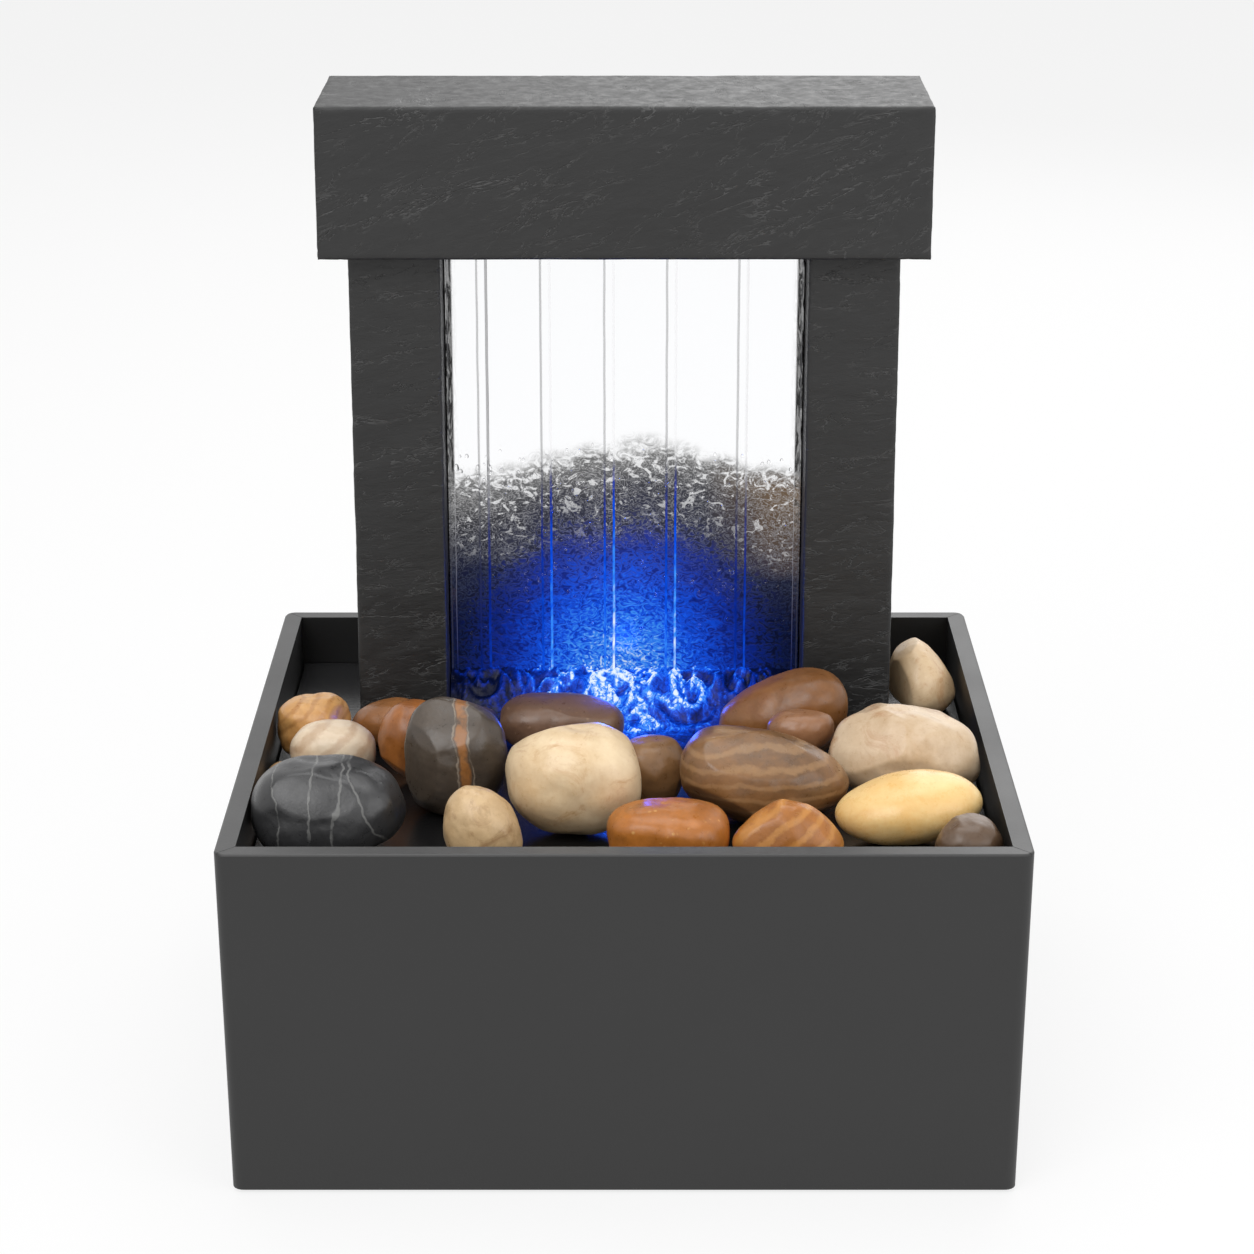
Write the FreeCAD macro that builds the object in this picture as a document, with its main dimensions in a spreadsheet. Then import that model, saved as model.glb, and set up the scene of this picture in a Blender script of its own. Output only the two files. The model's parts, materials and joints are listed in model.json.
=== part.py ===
import FreeCAD, Part
import math
import os
import re
import Sketcher

V = FreeCAD.Vector
doc = FreeCAD.newDocument("TabletopFountain")

# Driving dimensions, in millimetres. X runs across, Y from front to rear, Z up.
# The origin is on the table, under the centre of the basin.
DIMENSIONS = {
    "basin_width": 200,
    "basin_depth": 184,
    "basin_height": 92,
    "basin_wall": 5,
    "basin_floor": 4,
    "basin_draft": 1.1,
    "basin_corner": 3,
    "rim_chamfer": 0.5,
    "foot_radius": 7,
    "foot_proud": 1,
    "foot_recess": 1,
    "foot_inset": 16,
    "deck_drop": 14,
    "deck_thickness": 3,
    "deck_clearance": 0.6,
    "deck_leg": 8,
    "deck_leg_inset": 3,
    "drain_setback": 14,
    "drain_length": 14,
    "drain_width": 3,
    "drain_pitch": 14,
    "tower_setback": 42.8,
    "pillar_gap": 97.6,
    "pillar_width": 24.6,
    "pillar_depth": 33.6,
    "pillar_height": 146,
    "pillar_wall": 3,
    "pillar_cheek": 6,
    "pillar_cap": 6,
    "spigot_height": 4,
    "spigot_wall": 2,
    "slip_fit": 0.2,
    "header_height": 40.6,
    "header_lap": 9.8,
    "header_side_overhang": 7.3,
    "header_overhang": 8,
    "header_wall": 3,
    "header_chamfer": 0.8,
    "header_pad_thickness": 3.5,
    "header_pad_length": 8,
    "panel_thickness": 3,
    "panel_foot": 2,
    "panel_head": 6,
    "rib_width": 3.2,
    "rib_height": 1.2,
    "rib_slope": 0.7,
    "rib_one": -38.7,
    "rib_two": -21.5,
    "rib_three": -4.2,
    "rib_four": 12.8,
    "rib_five": 32.2,
    "seal_wall": 0.8,
    "seal_lap": 2,
    "groove_depth": 3.2,
    "trough_end_room": 0.4,
    "trough_wall": 2,
    "trough_floor": 2.5,
    "weir_gap": 0.8,
    "tube_radius": 5,
    "tube_bore": 3.6,
    "tube_standing": 6,
    "grommet_wall": 1.6,
    "grommet_lip": 1,
    "screw_radius": 1.45,
    "screw_head": 2.7,
    "screw_head_height": 1.8,
    "screw_length": 7,
    "screw_length_short": 3.6,
    "screw_gap": 0.5,
    "pilot_clearance": 0.05,
    "pump_width": 34,
    "pump_height": 34,
    "pump_length": 30,
    "chamber_radius": 15,
    "chamber_depth": 10,
    "chamber_bore": 12.5,
    "chamber_back": 1,
    "rotor_bore": 7.6,
    "rotor_bore_depth": 24,
    "magnet_radius": 7,
    "magnet_length": 22,
    "rotor_shaft_radius": 1.1,
    "running_clearance": 0.05,
    "bush_radius": 3,
    "bush_length": 2.5,
    "impeller_radius": 11,
    "impeller_hub": 3.5,
    "impeller_disc": 1.5,
    "rotor_end_gap": 1,
    "blade_height": 4,
    "blade_thickness": 1.2,
    "blade_setback": 0.5,
    "volute_plate": 3,
    "inlet_circle": 6.5,
    "inlet_radius": 1.8,
    "intake_depth": 24,
    "intake_wall": 1.6,
    "intake_slot": 2,
    "intake_slot_height": 6,
    "intake_slot_gap": 1,
    "intake_throat_gap": 1,
    "sponge_thickness": 5,
    "sponge_gap": 1,
    "dial_radius": 6.5,
    "dial_thickness": 3,
    "dial_stem": 2,
    "dial_collar": 1.2,
    "dial_collar_thickness": 1,
    "dial_grip_width": 2,
    "dial_grip_height": 1.5,
    "dial_grip_setback": 0.6,
    "outlet_radius": 3.5,
    "outlet_bore": 2.5,
    "outlet_height": 14,
    "outlet_collar": 5,
    "outlet_flange": 1.5,
    "cup_radius": 5,
    "cup_height": 5,
    "cup_skirt": 3,
    "led_window": 15,
    "led_flange": 17.5,
    "led_lens_thickness": 2,
    "led_seal": 1,
    "led_ear_radius": 27,
    "led_cup_depth": 16,
    "led_cup_wall": 1.8,
    "led_setback": 21,
    "led_lead_x": 4,
    "led_board_thickness": 1.6,
    "led_spacer_step": 1,
    "led_chip": 5,
    "led_chip_height": 1.6,
    "led_chip_circle": 8,
    "gland_radius": 4,
    "gland_bore": 2.6,
    "gland_lip": 1.8,
    "gland_lip_proud": 1.5,
    "gland_place": 30,
    "gland_drop": 7,
    "splice_radius": 4.6,
    "splice_length": 14,
    "lead_radius": 1.4,
    "lead_gap": 1.2,
    "lead_slack": 13,
    "lead_drop": 9,
    "lead_sweep": 3,
    "lead_step": 4,
    "lead_hole": 16,
    "pebble_gap": 0.3,
}

sheet = doc.addObject("Spreadsheet::Sheet", "Sizes")
sheet.set("A1", "dimension")
sheet.set("B1", "mm")
for row, (alias, number) in enumerate(DIMENSIONS.items(), start=2):
    sheet.set(f"A{row}", alias)
    sheet.set(f"B{row}", str(number))
    sheet.setAlias(f"B{row}", alias)

# Heights, depths and widths that several pieces share, worked out in the sheet from the sizes above.
DERIVED = {
    "floor_top": "foot_proud + basin_floor",
    "rim_top": "foot_proud + basin_height",
    "deck_top": "rim_top - deck_drop",
    "deck_bottom": "deck_top - deck_thickness",
    "draft_at_deck": "basin_draft * (deck_drop + deck_thickness) / basin_height",
    "tray_half_width": "basin_width / 2 - basin_wall - draft_at_deck",
    "tray_half_depth": "basin_depth / 2 - basin_wall - draft_at_deck",
    "pillar_inner": "pillar_gap / 2",
    "pillar_outer": "pillar_inner + pillar_width",
    "pillar_front": "tower_setback - pillar_depth / 2",
    "pillar_rear": "tower_setback + pillar_depth / 2",
    "pillar_top": "deck_top + pillar_height",
    "hollow_inner": "pillar_inner + pillar_cheek",
    "hollow_outer": "pillar_outer - pillar_wall",
    "hollow_centre": "(hollow_inner + hollow_outer) / 2",
    "header_bottom": "pillar_top - header_lap",
    "header_top": "header_bottom + header_height",
    "header_ceiling": "header_top - header_wall",
    "trough_top": "header_ceiling - header_pad_thickness",
    "grommet_radius": "tube_radius + grommet_wall",
    "trough_inside": "hollow_centre + grommet_radius + grommet_lip + trough_end_room",
    "trough_length": "(trough_inside + trough_wall) * 2",
    "screw_reach": "grommet_radius + grommet_lip + screw_gap + screw_head",
    "trough_width": "(screw_reach + screw_head + screw_gap + trough_wall) * 2",
    "trough_bed": "pillar_top + trough_floor",
    "panel_front": "tower_setback - panel_thickness / 2",
    "panel_rear": "tower_setback + panel_thickness / 2",
    "panel_bottom": "deck_top - panel_foot",
    "panel_top": "pillar_top + panel_head",
    "groove_bottom": "pillar_inner + groove_depth",
    "seal_outer": "groove_bottom - slip_fit",
    "panel_half": "seal_outer - seal_wall",
    "groove_half": "panel_thickness / 2 + seal_wall + slip_fit",
    "pump_bottom": "floor_top + cup_height",
    "pump_axis": "pump_bottom + pump_height / 2",
    "chamber_front": "tower_setback - chamber_depth / 2",
    "pump_front": "tower_setback + chamber_depth / 2",
    "pump_rear": "pump_front + pump_length",
    "plate_front": "chamber_front - volute_plate",
    "intake_front": "pump_front - intake_depth",
    "outlet_foot": "pump_axis + chamber_bore",
    "outlet_top": "pump_axis + chamber_radius + outlet_height",
    "tube_foot": "pump_axis + chamber_radius + outlet_collar",
    "tube_top": "trough_bed + tube_standing",
    "lens_top": "deck_bottom - led_seal",
    "lens_bottom": "lens_top - led_lens_thickness",
    "cup_rim": "deck_bottom",
    "led_cup_bottom": "deck_bottom - led_cup_depth",
    "led_cup_radius": "led_flange + slip_fit",
    "board_bottom": "led_cup_bottom + led_cup_wall",
    "board_top": "board_bottom + led_board_thickness",
    "led_lead_z": "board_top + lead_radius * 2",
    "gland_height": "rim_top - gland_drop",
    "rear_wall_inside": "basin_depth / 2 - basin_wall - basin_draft * gland_drop / basin_height",
    "rear_wall_outside": "rear_wall_inside + basin_wall",
    "splice_front": "rear_wall_inside - slip_fit - gland_lip - splice_length",
    "lead_hole_centre": "tower_setback + panel_thickness / 2 + lead_hole",
}
WORD = re.compile(r"[a-z][a-z_]*")


def cells(formula):
    """Turns the words of a formula into cells of the sheet."""
    return WORD.sub(lambda word: "Sizes." + word.group(0), formula)


row_start = len(DIMENSIONS) + 3
for row, (alias, formula) in enumerate(DERIVED.items(), start=row_start):
    sheet.set(f"A{row}", alias)
    sheet.set(f"B{row}", "=" + formula)
    sheet.setAlias(f"B{row}", alias)
doc.recompute()


def size(alias):
    """The number that a cell of the sheet holds."""
    return float(sheet.get(alias))


def bind(piece, prop, formula):
    """Ties a property to a formula in the sheet's words."""
    piece.setExpression(prop, cells(formula))


def place(piece, x, y, z):
    """Ties a piece's position to three formulas."""
    bind(piece, "Placement.Base.x", x)
    bind(piece, "Placement.Base.y", y)
    bind(piece, "Placement.Base.z", z)


def block(x_span, y_span, z_span):
    """A box between two formulas on each axis."""
    box = doc.addObject("Part::Box", "Block")
    for prop, (low, high) in zip(("Length", "Width", "Height"), (x_span, y_span, z_span)):
        bind(box, prop, f"({high}) - ({low})")
    place(box, x_span[0], y_span[0], z_span[0])
    return box


TURNS = {
    "x": FreeCAD.Rotation(V(0, 1, 0), 90),
    "y": FreeCAD.Rotation(V(1, 0, 0), -90),
    "z": FreeCAD.Rotation(),
}


def rod(axis, foot, radius, length):
    """A cylinder that starts at foot and runs along one axis."""
    cylinder = doc.addObject("Part::Cylinder", "Rod")
    bind(cylinder, "Radius", radius)
    bind(cylinder, "Height", length)
    cylinder.Placement.Rotation = TURNS[axis]
    place(cylinder, *foot)
    return cylinder


def cone(foot, low_radius, high_radius, length):
    """A cone that stands on foot."""
    piece = doc.addObject("Part::Cone", "Cone")
    bind(piece, "Radius1", low_radius)
    bind(piece, "Radius2", high_radius)
    bind(piece, "Height", length)
    place(piece, *foot)
    return piece


def join(pieces, label="Joined"):
    """Fuses several pieces into one."""
    if len(pieces) == 1:
        return pieces[0]
    fused = doc.addObject("Part::MultiFuse", label)
    fused.Shapes = pieces
    fused.Label = label
    return fused


def cut(base, tools, label="Trimmed"):
    """Takes every tool away from the base."""
    trimmed = doc.addObject("Part::Cut", label)
    trimmed.Base = base
    trimmed.Tool = join(tools)
    trimmed.Label = label
    return trimmed


def group(pieces, label):
    """Several separate solids that share one node."""
    together = doc.addObject("Part::Compound", label)
    together.Links = pieces
    together.Label = label
    return together


def finished(piece, label):
    """Gives a piece its name and lists it among the pieces that are written."""
    piece.Label = label
    nodes[label] = piece
    return piece


def new_body(label):
    body = doc.addObject("PartDesign::Body", label)
    body.Label = label
    return body


def sketch_on(body, role, offset):
    """A sketch on one of the body's own origin planes, moved along the plane's normal."""
    sketch = body.newObject("Sketcher::SketchObject", body.Name + "Sketch")
    plane = next(f for f in body.Origin.OriginFeatures if f.Role == role)
    sketch.AttachmentSupport = [(plane, "")]
    sketch.MapMode = "FlatFace"
    bind(sketch, "AttachmentOffset.Base.z", offset)
    return sketch


def outline(sketch, corners):
    """A closed outline of straight sides. Each corner is held by two formulas from the origin."""
    count = len(corners)
    start_radius = 50
    starts = []
    for i in range(count):
        angle = 2 * math.pi * i / count
        starts.append(V(start_radius * math.cos(angle), start_radius * math.sin(angle), 0))
    for i in range(count):
        sketch.addGeometry(Part.LineSegment(starts[i], starts[(i + 1) % count]), False)
    for i in range(count):
        sketch.addConstraint(Sketcher.Constraint("Coincident", i, 2, (i + 1) % count, 1))
    for i, formulas in enumerate(corners):
        for kind, formula, start in zip(("DistanceX", "DistanceY"), formulas, starts[i]):
            held = sketch.addConstraint(Sketcher.Constraint(kind, -1, 1, i, 1, start))
            bind(sketch, f"Constraints[{held}]", formula)
    return sketch


def rectangle(sketch, half_x, half_y, middle_y="0"):
    """A rectangle about the Y axis."""
    low, high = f"{middle_y} - ({half_y})", f"{middle_y} + ({half_y})"
    left, right = f"-({half_x})", f"{half_x}"
    return outline(sketch, [(left, low), (right, low), (right, high), (left, high)])


def rounded_rectangle(sketch, half_x, half_y, corner):
    """A rectangle about the origin whose four corners are arcs."""
    start_half, start_corner = 50, 5
    inset = start_half - start_corner
    quarter = math.pi / 2
    sides, corners = [], []
    for i in range(4):
        spin = FreeCAD.Rotation(V(0, 0, 1), 90 * i)
        near, far = spin.multVec(V(-inset, -start_half, 0)), spin.multVec(V(inset, -start_half, 0))
        sides.append(sketch.addGeometry(Part.LineSegment(near, far), False))
        circle = Part.Circle(spin.multVec(V(inset, -inset, 0)), V(0, 0, 1), start_corner)
        arc = Part.ArcOfCircle(circle, quarter * (i - 1), quarter * i)
        corners.append(sketch.addGeometry(arc, False))
    for i in range(4):
        kind = "Horizontal" if i % 2 == 0 else "Vertical"
        sketch.addConstraint(Sketcher.Constraint(kind, sides[i]))
        sketch.addConstraint(Sketcher.Constraint("Tangent", sides[i], 2, corners[i], 1))
        sketch.addConstraint(Sketcher.Constraint("Tangent", corners[i], 2, sides[(i + 1) % 4], 1))
    for i in range(1, 4):
        sketch.addConstraint(Sketcher.Constraint("Equal", corners[0], corners[i]))
    held = sketch.addConstraint(Sketcher.Constraint("Radius", corners[0], start_corner))
    bind(sketch, f"Constraints[{held}]", corner)
    reaches = ((0, "DistanceY", f"-({half_y})"), (1, "DistanceX", half_x),
               (2, "DistanceY", half_y), (3, "DistanceX", f"-({half_x})"))
    for i, kind, formula in reaches:
        start = start_half if i in (1, 2) else -start_half
        held = sketch.addConstraint(Sketcher.Constraint(kind, -1, 1, sides[i], 1, start))
        bind(sketch, f"Constraints[{held}]", formula)
    return sketch


def feature(body, kind, sketch, **properties):
    made = body.newObject("PartDesign::" + kind, kind)
    if sketch is not None:
        made.Profile = sketch
    for name, value in properties.items():
        setattr(made, name, value)
    return made


def edges_where(shape, test):
    """The names of the edges whose two ends pass the test."""
    found = []
    for i, edge in enumerate(shape.Edges, start=1):
        if len(edge.Vertexes) == 2 and test(edge.Vertexes[0].Point, edge.Vertexes[1].Point):
            found.append(f"Edge{i}")
    return found


nodes = {}
NUDGE = 0.01


# ---- basin and feet ----

def basin():
    """A tapered tub with a flat floor, foot recesses below and a hole for the cable gland behind."""
    body = new_body("basin_tub")
    half_x, half_y = "basin_width / 2", "basin_depth / 2"
    low = rounded_rectangle(
        sketch_on(body, "XY_Plane", "foot_proud"),
        f"{half_x} - basin_draft", f"{half_y} - basin_draft", "basin_corner")
    shoulder = rounded_rectangle(
        sketch_on(body, "XY_Plane", "rim_top - rim_chamfer"), half_x, half_y, "basin_corner")
    rim = rounded_rectangle(
        sketch_on(body, "XY_Plane", "rim_top"),
        f"{half_x} - rim_chamfer", f"{half_y} - rim_chamfer", "basin_corner - rim_chamfer")
    feature(body, "AdditiveLoft", low, Sections=[shoulder], Ruled=True)
    outside = feature(body, "AdditiveLoft", shoulder, Sections=[rim], Ruled=True)
    floor_draft = "basin_draft * (basin_height - basin_floor) / basin_height"
    low_inside = rectangle(
        sketch_on(body, "XY_Plane", "floor_top"),
        f"{half_x} - basin_wall - {floor_draft}", f"{half_y} - basin_wall - {floor_draft}")
    high_inside = rectangle(
        sketch_on(body, "XY_Plane", "rim_top"),
        f"{half_x} - basin_wall", f"{half_y} - basin_wall")
    doc.recompute()
    solid_volume = outside.Shape.Volume
    hollow = feature(body, "SubtractiveLoft", low_inside, Sections=[high_inside], Ruled=True)
    doc.recompute()
    if hollow.Shape.Volume > solid_volume * 0.5:
        raise RuntimeError("the basin was not hollowed")

    recesses = [
        rod("z", (x, y, "foot_proud"), "foot_radius + slip_fit", "foot_recess")
        for x, y in foot_places
    ]
    gland_hole = rod(
        "y", ("gland_place", "rear_wall_inside - basin_wall", "gland_height"),
        "gland_radius", "basin_wall * 3")
    finished(cut(body, recesses + [gland_hole], "basin"), "basin")


foot_x, foot_y = "basin_width / 2 - foot_inset", "basin_depth / 2 - foot_inset"
foot_places = [(f"{i} * ({foot_x})", f"{j} * ({foot_y})") for i in (-1, 1) for j in (-1, 1)]


def feet():
    discs = [rod("z", (x, y, "0"), "foot_radius", "foot_proud + foot_recess") for x, y in foot_places]
    finished(group(discs, "rubber_feet"), "rubber_feet")


# ---- stone deck ----

def deck():
    """The plate that the pebbles and the tower stand on, held up by four legs."""
    half_x = "tray_half_width - deck_clearance"
    half_y = "tray_half_depth - deck_clearance"
    plate = block((f"-({half_x})", half_x), (f"-({half_y})", half_y), ("deck_bottom", "deck_top"))
    foot_draft = "basin_draft + deck_leg_inset"
    leg_x = f"tray_half_width - {foot_draft} - deck_leg"
    leg_y = f"tray_half_depth - {foot_draft} - deck_leg"
    raised = []
    for i in (-1, 1):
        for j in (-1, 1):
            spans = [
                (f"{s} * ({near}) - deck_leg / 2", f"{s} * ({near}) + deck_leg / 2")
                for s, near in ((i, leg_x), (j, leg_y))
            ]
            raised.append(block(spans[0], spans[1], ("floor_top", "deck_bottom")))
    for side in (-1, 1):
        raised.append(spigot(side))
    window = rod("z", ("0", "led_setback", "deck_bottom"), "led_window + slip_fit", "deck_thickness")
    tube_hole = rod("z", ("hollow_centre", "tower_setback", "deck_bottom"),
                    "tube_radius + slip_fit * 2", "deck_thickness + spigot_height")
    panel_slot = block(("-(panel_half + slip_fit)", "panel_half + slip_fit"),
                       ("panel_front - rib_height - slip_fit", "panel_rear + slip_fit"),
                       ("panel_bottom", "deck_top"))
    lead_hole = block(("gland_place - lead_hole / 2", "gland_place + lead_hole / 2"),
                      ("lead_hole_centre - lead_hole / 2", "lead_hole_centre + lead_hole / 2"),
                      ("deck_bottom", "deck_top"))
    pilots = [
        rod("z", (x, y, "deck_bottom"), "screw_radius + pilot_clearance",
            "screw_length_short - led_cup_wall + slip_fit")
        for x, y in led_screw_places()
    ]
    drains = []
    drains_a_side = 5
    for i in range(-drains_a_side, drains_a_side + 1):
        middle = f"{i} * drain_pitch"
        drains.append(block(
            (f"{middle} - drain_width / 2", f"{middle} + drain_width / 2"),
            ("-tray_half_depth + drain_setback", "-tray_half_depth + drain_setback + drain_length"),
            ("deck_bottom", "deck_top")))
    tools = [window, tube_hole, panel_slot, lead_hole] + pilots + drains
    finished(cut(join([plate] + raised), tools, "stone_deck"), "stone_deck")


def spigot(side):
    """A rectangular collar on the deck that a hollow pillar is pushed over."""
    inner, outer = "hollow_inner + slip_fit", "hollow_outer - slip_fit"
    half_y = "pillar_depth / 2 - pillar_wall - slip_fit"
    if side > 0:
        x_span = (inner, outer)
        x_hole = (f"{inner} + spigot_wall", f"{outer} - spigot_wall")
    else:
        x_span = (f"-({outer})", f"-({inner})")
        x_hole = (f"-({outer} - spigot_wall)", f"-({inner} + spigot_wall)")
    z_span = ("deck_top", "deck_top + spigot_height")
    collar = block(x_span, (f"tower_setback - ({half_y})", f"tower_setback + ({half_y})"), z_span)
    hole_y = f"{half_y} - spigot_wall"
    hole = block(x_hole, (f"tower_setback - ({hole_y})", f"tower_setback + ({hole_y})"), z_span)
    return cut(collar, [hole])


# ---- tower ----

def pillar(label, side):
    """A hollow pillar with a grooved cheek for the panel and a solid cap for the trough's screws."""
    outer = mirrored_span("pillar_inner", "pillar_outer", side)
    shell = block(outer, ("pillar_front", "pillar_rear"), ("deck_top", "pillar_top"))
    hollow = block(mirrored_span("hollow_inner", "hollow_outer", side),
                   ("pillar_front + pillar_wall", "pillar_rear - pillar_wall"),
                   ("deck_top", "pillar_top - pillar_cap"))
    groove = block(mirrored_span("pillar_inner", "groove_bottom", side),
                   ("tower_setback - groove_half", "tower_setback + groove_half"),
                   ("deck_top", "pillar_top"))
    tools = [hollow, groove]
    for x, y in trough_screw_places(side):
        depth = "screw_length - trough_floor + slip_fit"
        tools.append(rod("z", (x, y, f"pillar_top - ({depth})"),
                         "screw_radius + pilot_clearance", depth))
    if side > 0:
        tools.append(rod("z", ("hollow_centre", "tower_setback", "pillar_top - pillar_cap"),
                         "tube_radius + slip_fit * 2", "pillar_cap"))
    finished(cut(shell, tools, label), label)


def mirrored_span(near, far, side):
    if side > 0:
        return (near, far)
    return (f"-({far})", f"-({near})")


def trough_screw_places(side):
    """Two screws per pillar, in front of and behind the tube."""
    return [(f"{side} * hollow_centre", f"tower_setback + {j} * screw_reach") for j in (-1, 1)]


RIBS = ("rib_one", "rib_two", "rib_three", "rib_four", "rib_five")


def panel():
    """A clear sheet with upright ribs on its front face, drawn in section and extruded upwards."""
    body = new_body("waterfall_panel")
    corners = [("-panel_half", "panel_rear"), ("-panel_half", "panel_front")]
    for rib in RIBS:
        corners += [
            (f"{rib} - rib_width / 2", "panel_front"),
            (f"{rib} - rib_width / 2 + rib_slope", "panel_front - rib_height"),
            (f"{rib} + rib_width / 2 - rib_slope", "panel_front - rib_height"),
            (f"{rib} + rib_width / 2", "panel_front"),
        ]
    corners += [("panel_half", "panel_front"), ("panel_half", "panel_rear")]
    section = outline(sketch_on(body, "XY_Plane", "panel_bottom"), corners)
    pad = feature(body, "Pad", section)
    bind(pad, "Length", "panel_top - panel_bottom")
    finished(body, "waterfall_panel")


def panel_seals():
    """Clear channels pressed over the panel's two upright edges, inside the pillars' grooves."""
    channels = []
    for side in (-1, 1):
        heights = ("deck_top", "pillar_top")
        outside = block(mirrored_span("pillar_inner - seal_lap", "seal_outer", side),
                        ("panel_front - seal_wall", "panel_rear + seal_wall"), heights)
        inside = block(mirrored_span("pillar_inner - seal_lap", "panel_half", side),
                       ("panel_front", "panel_rear"), heights)
        channels.append(cut(outside, [inside]))
    finished(group(channels, "panel_edge_seals"), "panel_edge_seals")


def trough():
    """The open channel that feeds the panel through a slot in its floor."""
    half_x, half_y = "trough_length / 2", "trough_width / 2"
    outside = block((f"-{half_x}", half_x),
                    (f"tower_setback - {half_y}", f"tower_setback + {half_y}"),
                    ("pillar_top", "trough_top"))
    inside = block((f"-{half_x} + trough_wall", f"{half_x} - trough_wall"),
                   (f"tower_setback - {half_y} + trough_wall", f"tower_setback + {half_y} - trough_wall"),
                   ("trough_bed", "trough_top"))
    slot = block(("-(panel_half + slip_fit)", "panel_half + slip_fit"),
                 ("panel_front - rib_height - weir_gap", "panel_rear + slip_fit"),
                 ("pillar_top", "trough_bed"))
    tools = [inside, slot]
    tools.append(rod("z", ("hollow_centre", "tower_setback", "pillar_top"),
                     "grommet_radius + running_clearance", "trough_floor"))
    for side in (-1, 1):
        for x, y in trough_screw_places(side):
            tools.append(rod("z", (x, y, "pillar_top"), "screw_radius + slip_fit", "trough_floor"))
    finished(cut(outside, tools, "distribution_trough"), "distribution_trough")


def screw(x, y, seat, points_up):
    """A pan-head screw whose head lies against the seat."""
    if points_up:
        head = rod("z", (x, y, f"{seat} - screw_head_height"), "screw_head", "screw_head_height")
        shank = rod("z", (x, y, seat), "screw_radius", "screw_length_short")
    else:
        head = rod("z", (x, y, seat), "screw_head", "screw_head_height")
        shank = rod("z", (x, y, f"{seat} - screw_length"), "screw_radius", "screw_length")
    return join([head, shank])


def trough_screws():
    places = trough_screw_places(-1) + trough_screw_places(1)
    screws = [screw(x, y, "trough_bed", False) for x, y in places]
    finished(group(screws, "trough_screws"), "trough_screws")


def tube_and_grommet():
    """The riser from the pump to the trough, and the rubber ring that seals it in the trough's floor."""
    centre = ("hollow_centre", "tower_setback")
    tube = rod("z", centre + ("tube_foot",), "tube_radius", "tube_top - tube_foot")
    bore = rod("z", centre + ("tube_foot",), "tube_bore", "tube_top - tube_foot")
    finished(cut(tube, [bore], "supply_tube"), "supply_tube")
    collar = rod("z", centre + ("pillar_top",), "grommet_radius", "trough_floor")
    lip = rod("z", centre + ("trough_bed",), "grommet_radius + grommet_lip", "grommet_lip")
    hole = rod("z", centre + ("pillar_top",), "tube_radius", "trough_floor + grommet_lip")
    finished(cut(join([collar, lip]), [hole], "tube_grommet"), "tube_grommet")


def header():
    """The lintel: a box that is open below and lifts straight off the trough."""
    body = new_body("header_cover")
    half_x = "pillar_outer + header_side_overhang"
    half_y = "pillar_depth / 2 + header_overhang"
    foot = rectangle(sketch_on(body, "XY_Plane", "header_bottom"), half_x, half_y, "tower_setback")
    pad = feature(body, "Pad", foot)
    bind(pad, "Length", "header_height")
    mouth = rectangle(
        sketch_on(body, "XY_Plane", "header_bottom"),
        f"{half_x} - header_wall", f"{half_y} - header_wall", "tower_setback")
    doc.recompute()
    solid_volume = pad.Shape.Volume
    hollow = feature(body, "Pocket", mouth, Reversed=True)
    bind(hollow, "Length", "header_height - header_wall")
    doc.recompute()
    if hollow.Shape.Volume > solid_volume * 0.6:
        raise RuntimeError("the header was not hollowed")

    def top_edge(a, b):
        return min(a.z, b.z) > size("header_top") - NUDGE

    eased = feature(body, "Chamfer", None)
    eased.Base = (hollow, edges_where(hollow.Shape, top_edge))
    bind(eased, "Size", "header_chamfer")
    finished(body, "header_cover")


def header_pads():
    """Two foam strips between the trough's end walls and the header's ceiling."""
    strips = []
    for side in (-1, 1):
        x_span = mirrored_span("trough_length / 2 - header_pad_length", "trough_length / 2", side)
        strips.append(block(x_span,
                            ("tower_setback - trough_width / 2", "tower_setback + trough_width / 2"),
                            ("trough_top", "header_ceiling")))
    finished(group(strips, "header_pads"), "header_pads")


# ---- pump ----

PUMP_X = "hollow_centre"


def pump_rod(start, radius, length):
    """A cylinder on the pump's own axis, running to the rear."""
    return rod("y", (PUMP_X, start, "pump_axis"), radius, length)


def pump_housing():
    """The motor block with its impeller chamber in front, the rotor's bore and the outlet hole."""
    motor = block((f"{PUMP_X} - pump_width / 2", f"{PUMP_X} + pump_width / 2"),
                  ("pump_front", "pump_rear"),
                  ("pump_bottom", "pump_bottom + pump_height"))
    chamber = pump_rod("chamber_front", "chamber_radius", "chamber_depth")
    hollow = pump_rod("chamber_front", "chamber_bore", "chamber_depth - chamber_back")
    bore = pump_rod("chamber_front", "rotor_bore", "chamber_depth + rotor_bore_depth")
    bush_seat = pump_rod("pump_front + rotor_bore_depth", "bush_radius", "bush_length")
    outlet = rod("z", (PUMP_X, "tower_setback", "pump_axis"), "outlet_radius", "chamber_radius * 2")
    finished(cut(join([motor, chamber]), [hollow, bore, bush_seat, outlet], "pump_housing"), "pump_housing")


def volute_plate():
    """The chamber's front plate: a hub for the front bush with inlet holes round it."""
    plate = pump_rod("plate_front", "chamber_radius", "volute_plate")
    tools = [pump_rod("plate_front + volute_plate - bush_length", "bush_radius", "bush_length")]
    inlet_count = 6
    for i in range(inlet_count):
        angle = 2 * math.pi * i / inlet_count
        across, up = f"{math.cos(angle):.5f} * inlet_circle", f"{math.sin(angle):.5f} * inlet_circle"
        tools.append(rod("y", (f"{PUMP_X} + {across}", "plate_front", f"pump_axis + {up}"),
                         "inlet_radius", "volute_plate"))
    finished(cut(plate, tools, "volute_plate"), "volute_plate")


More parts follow.
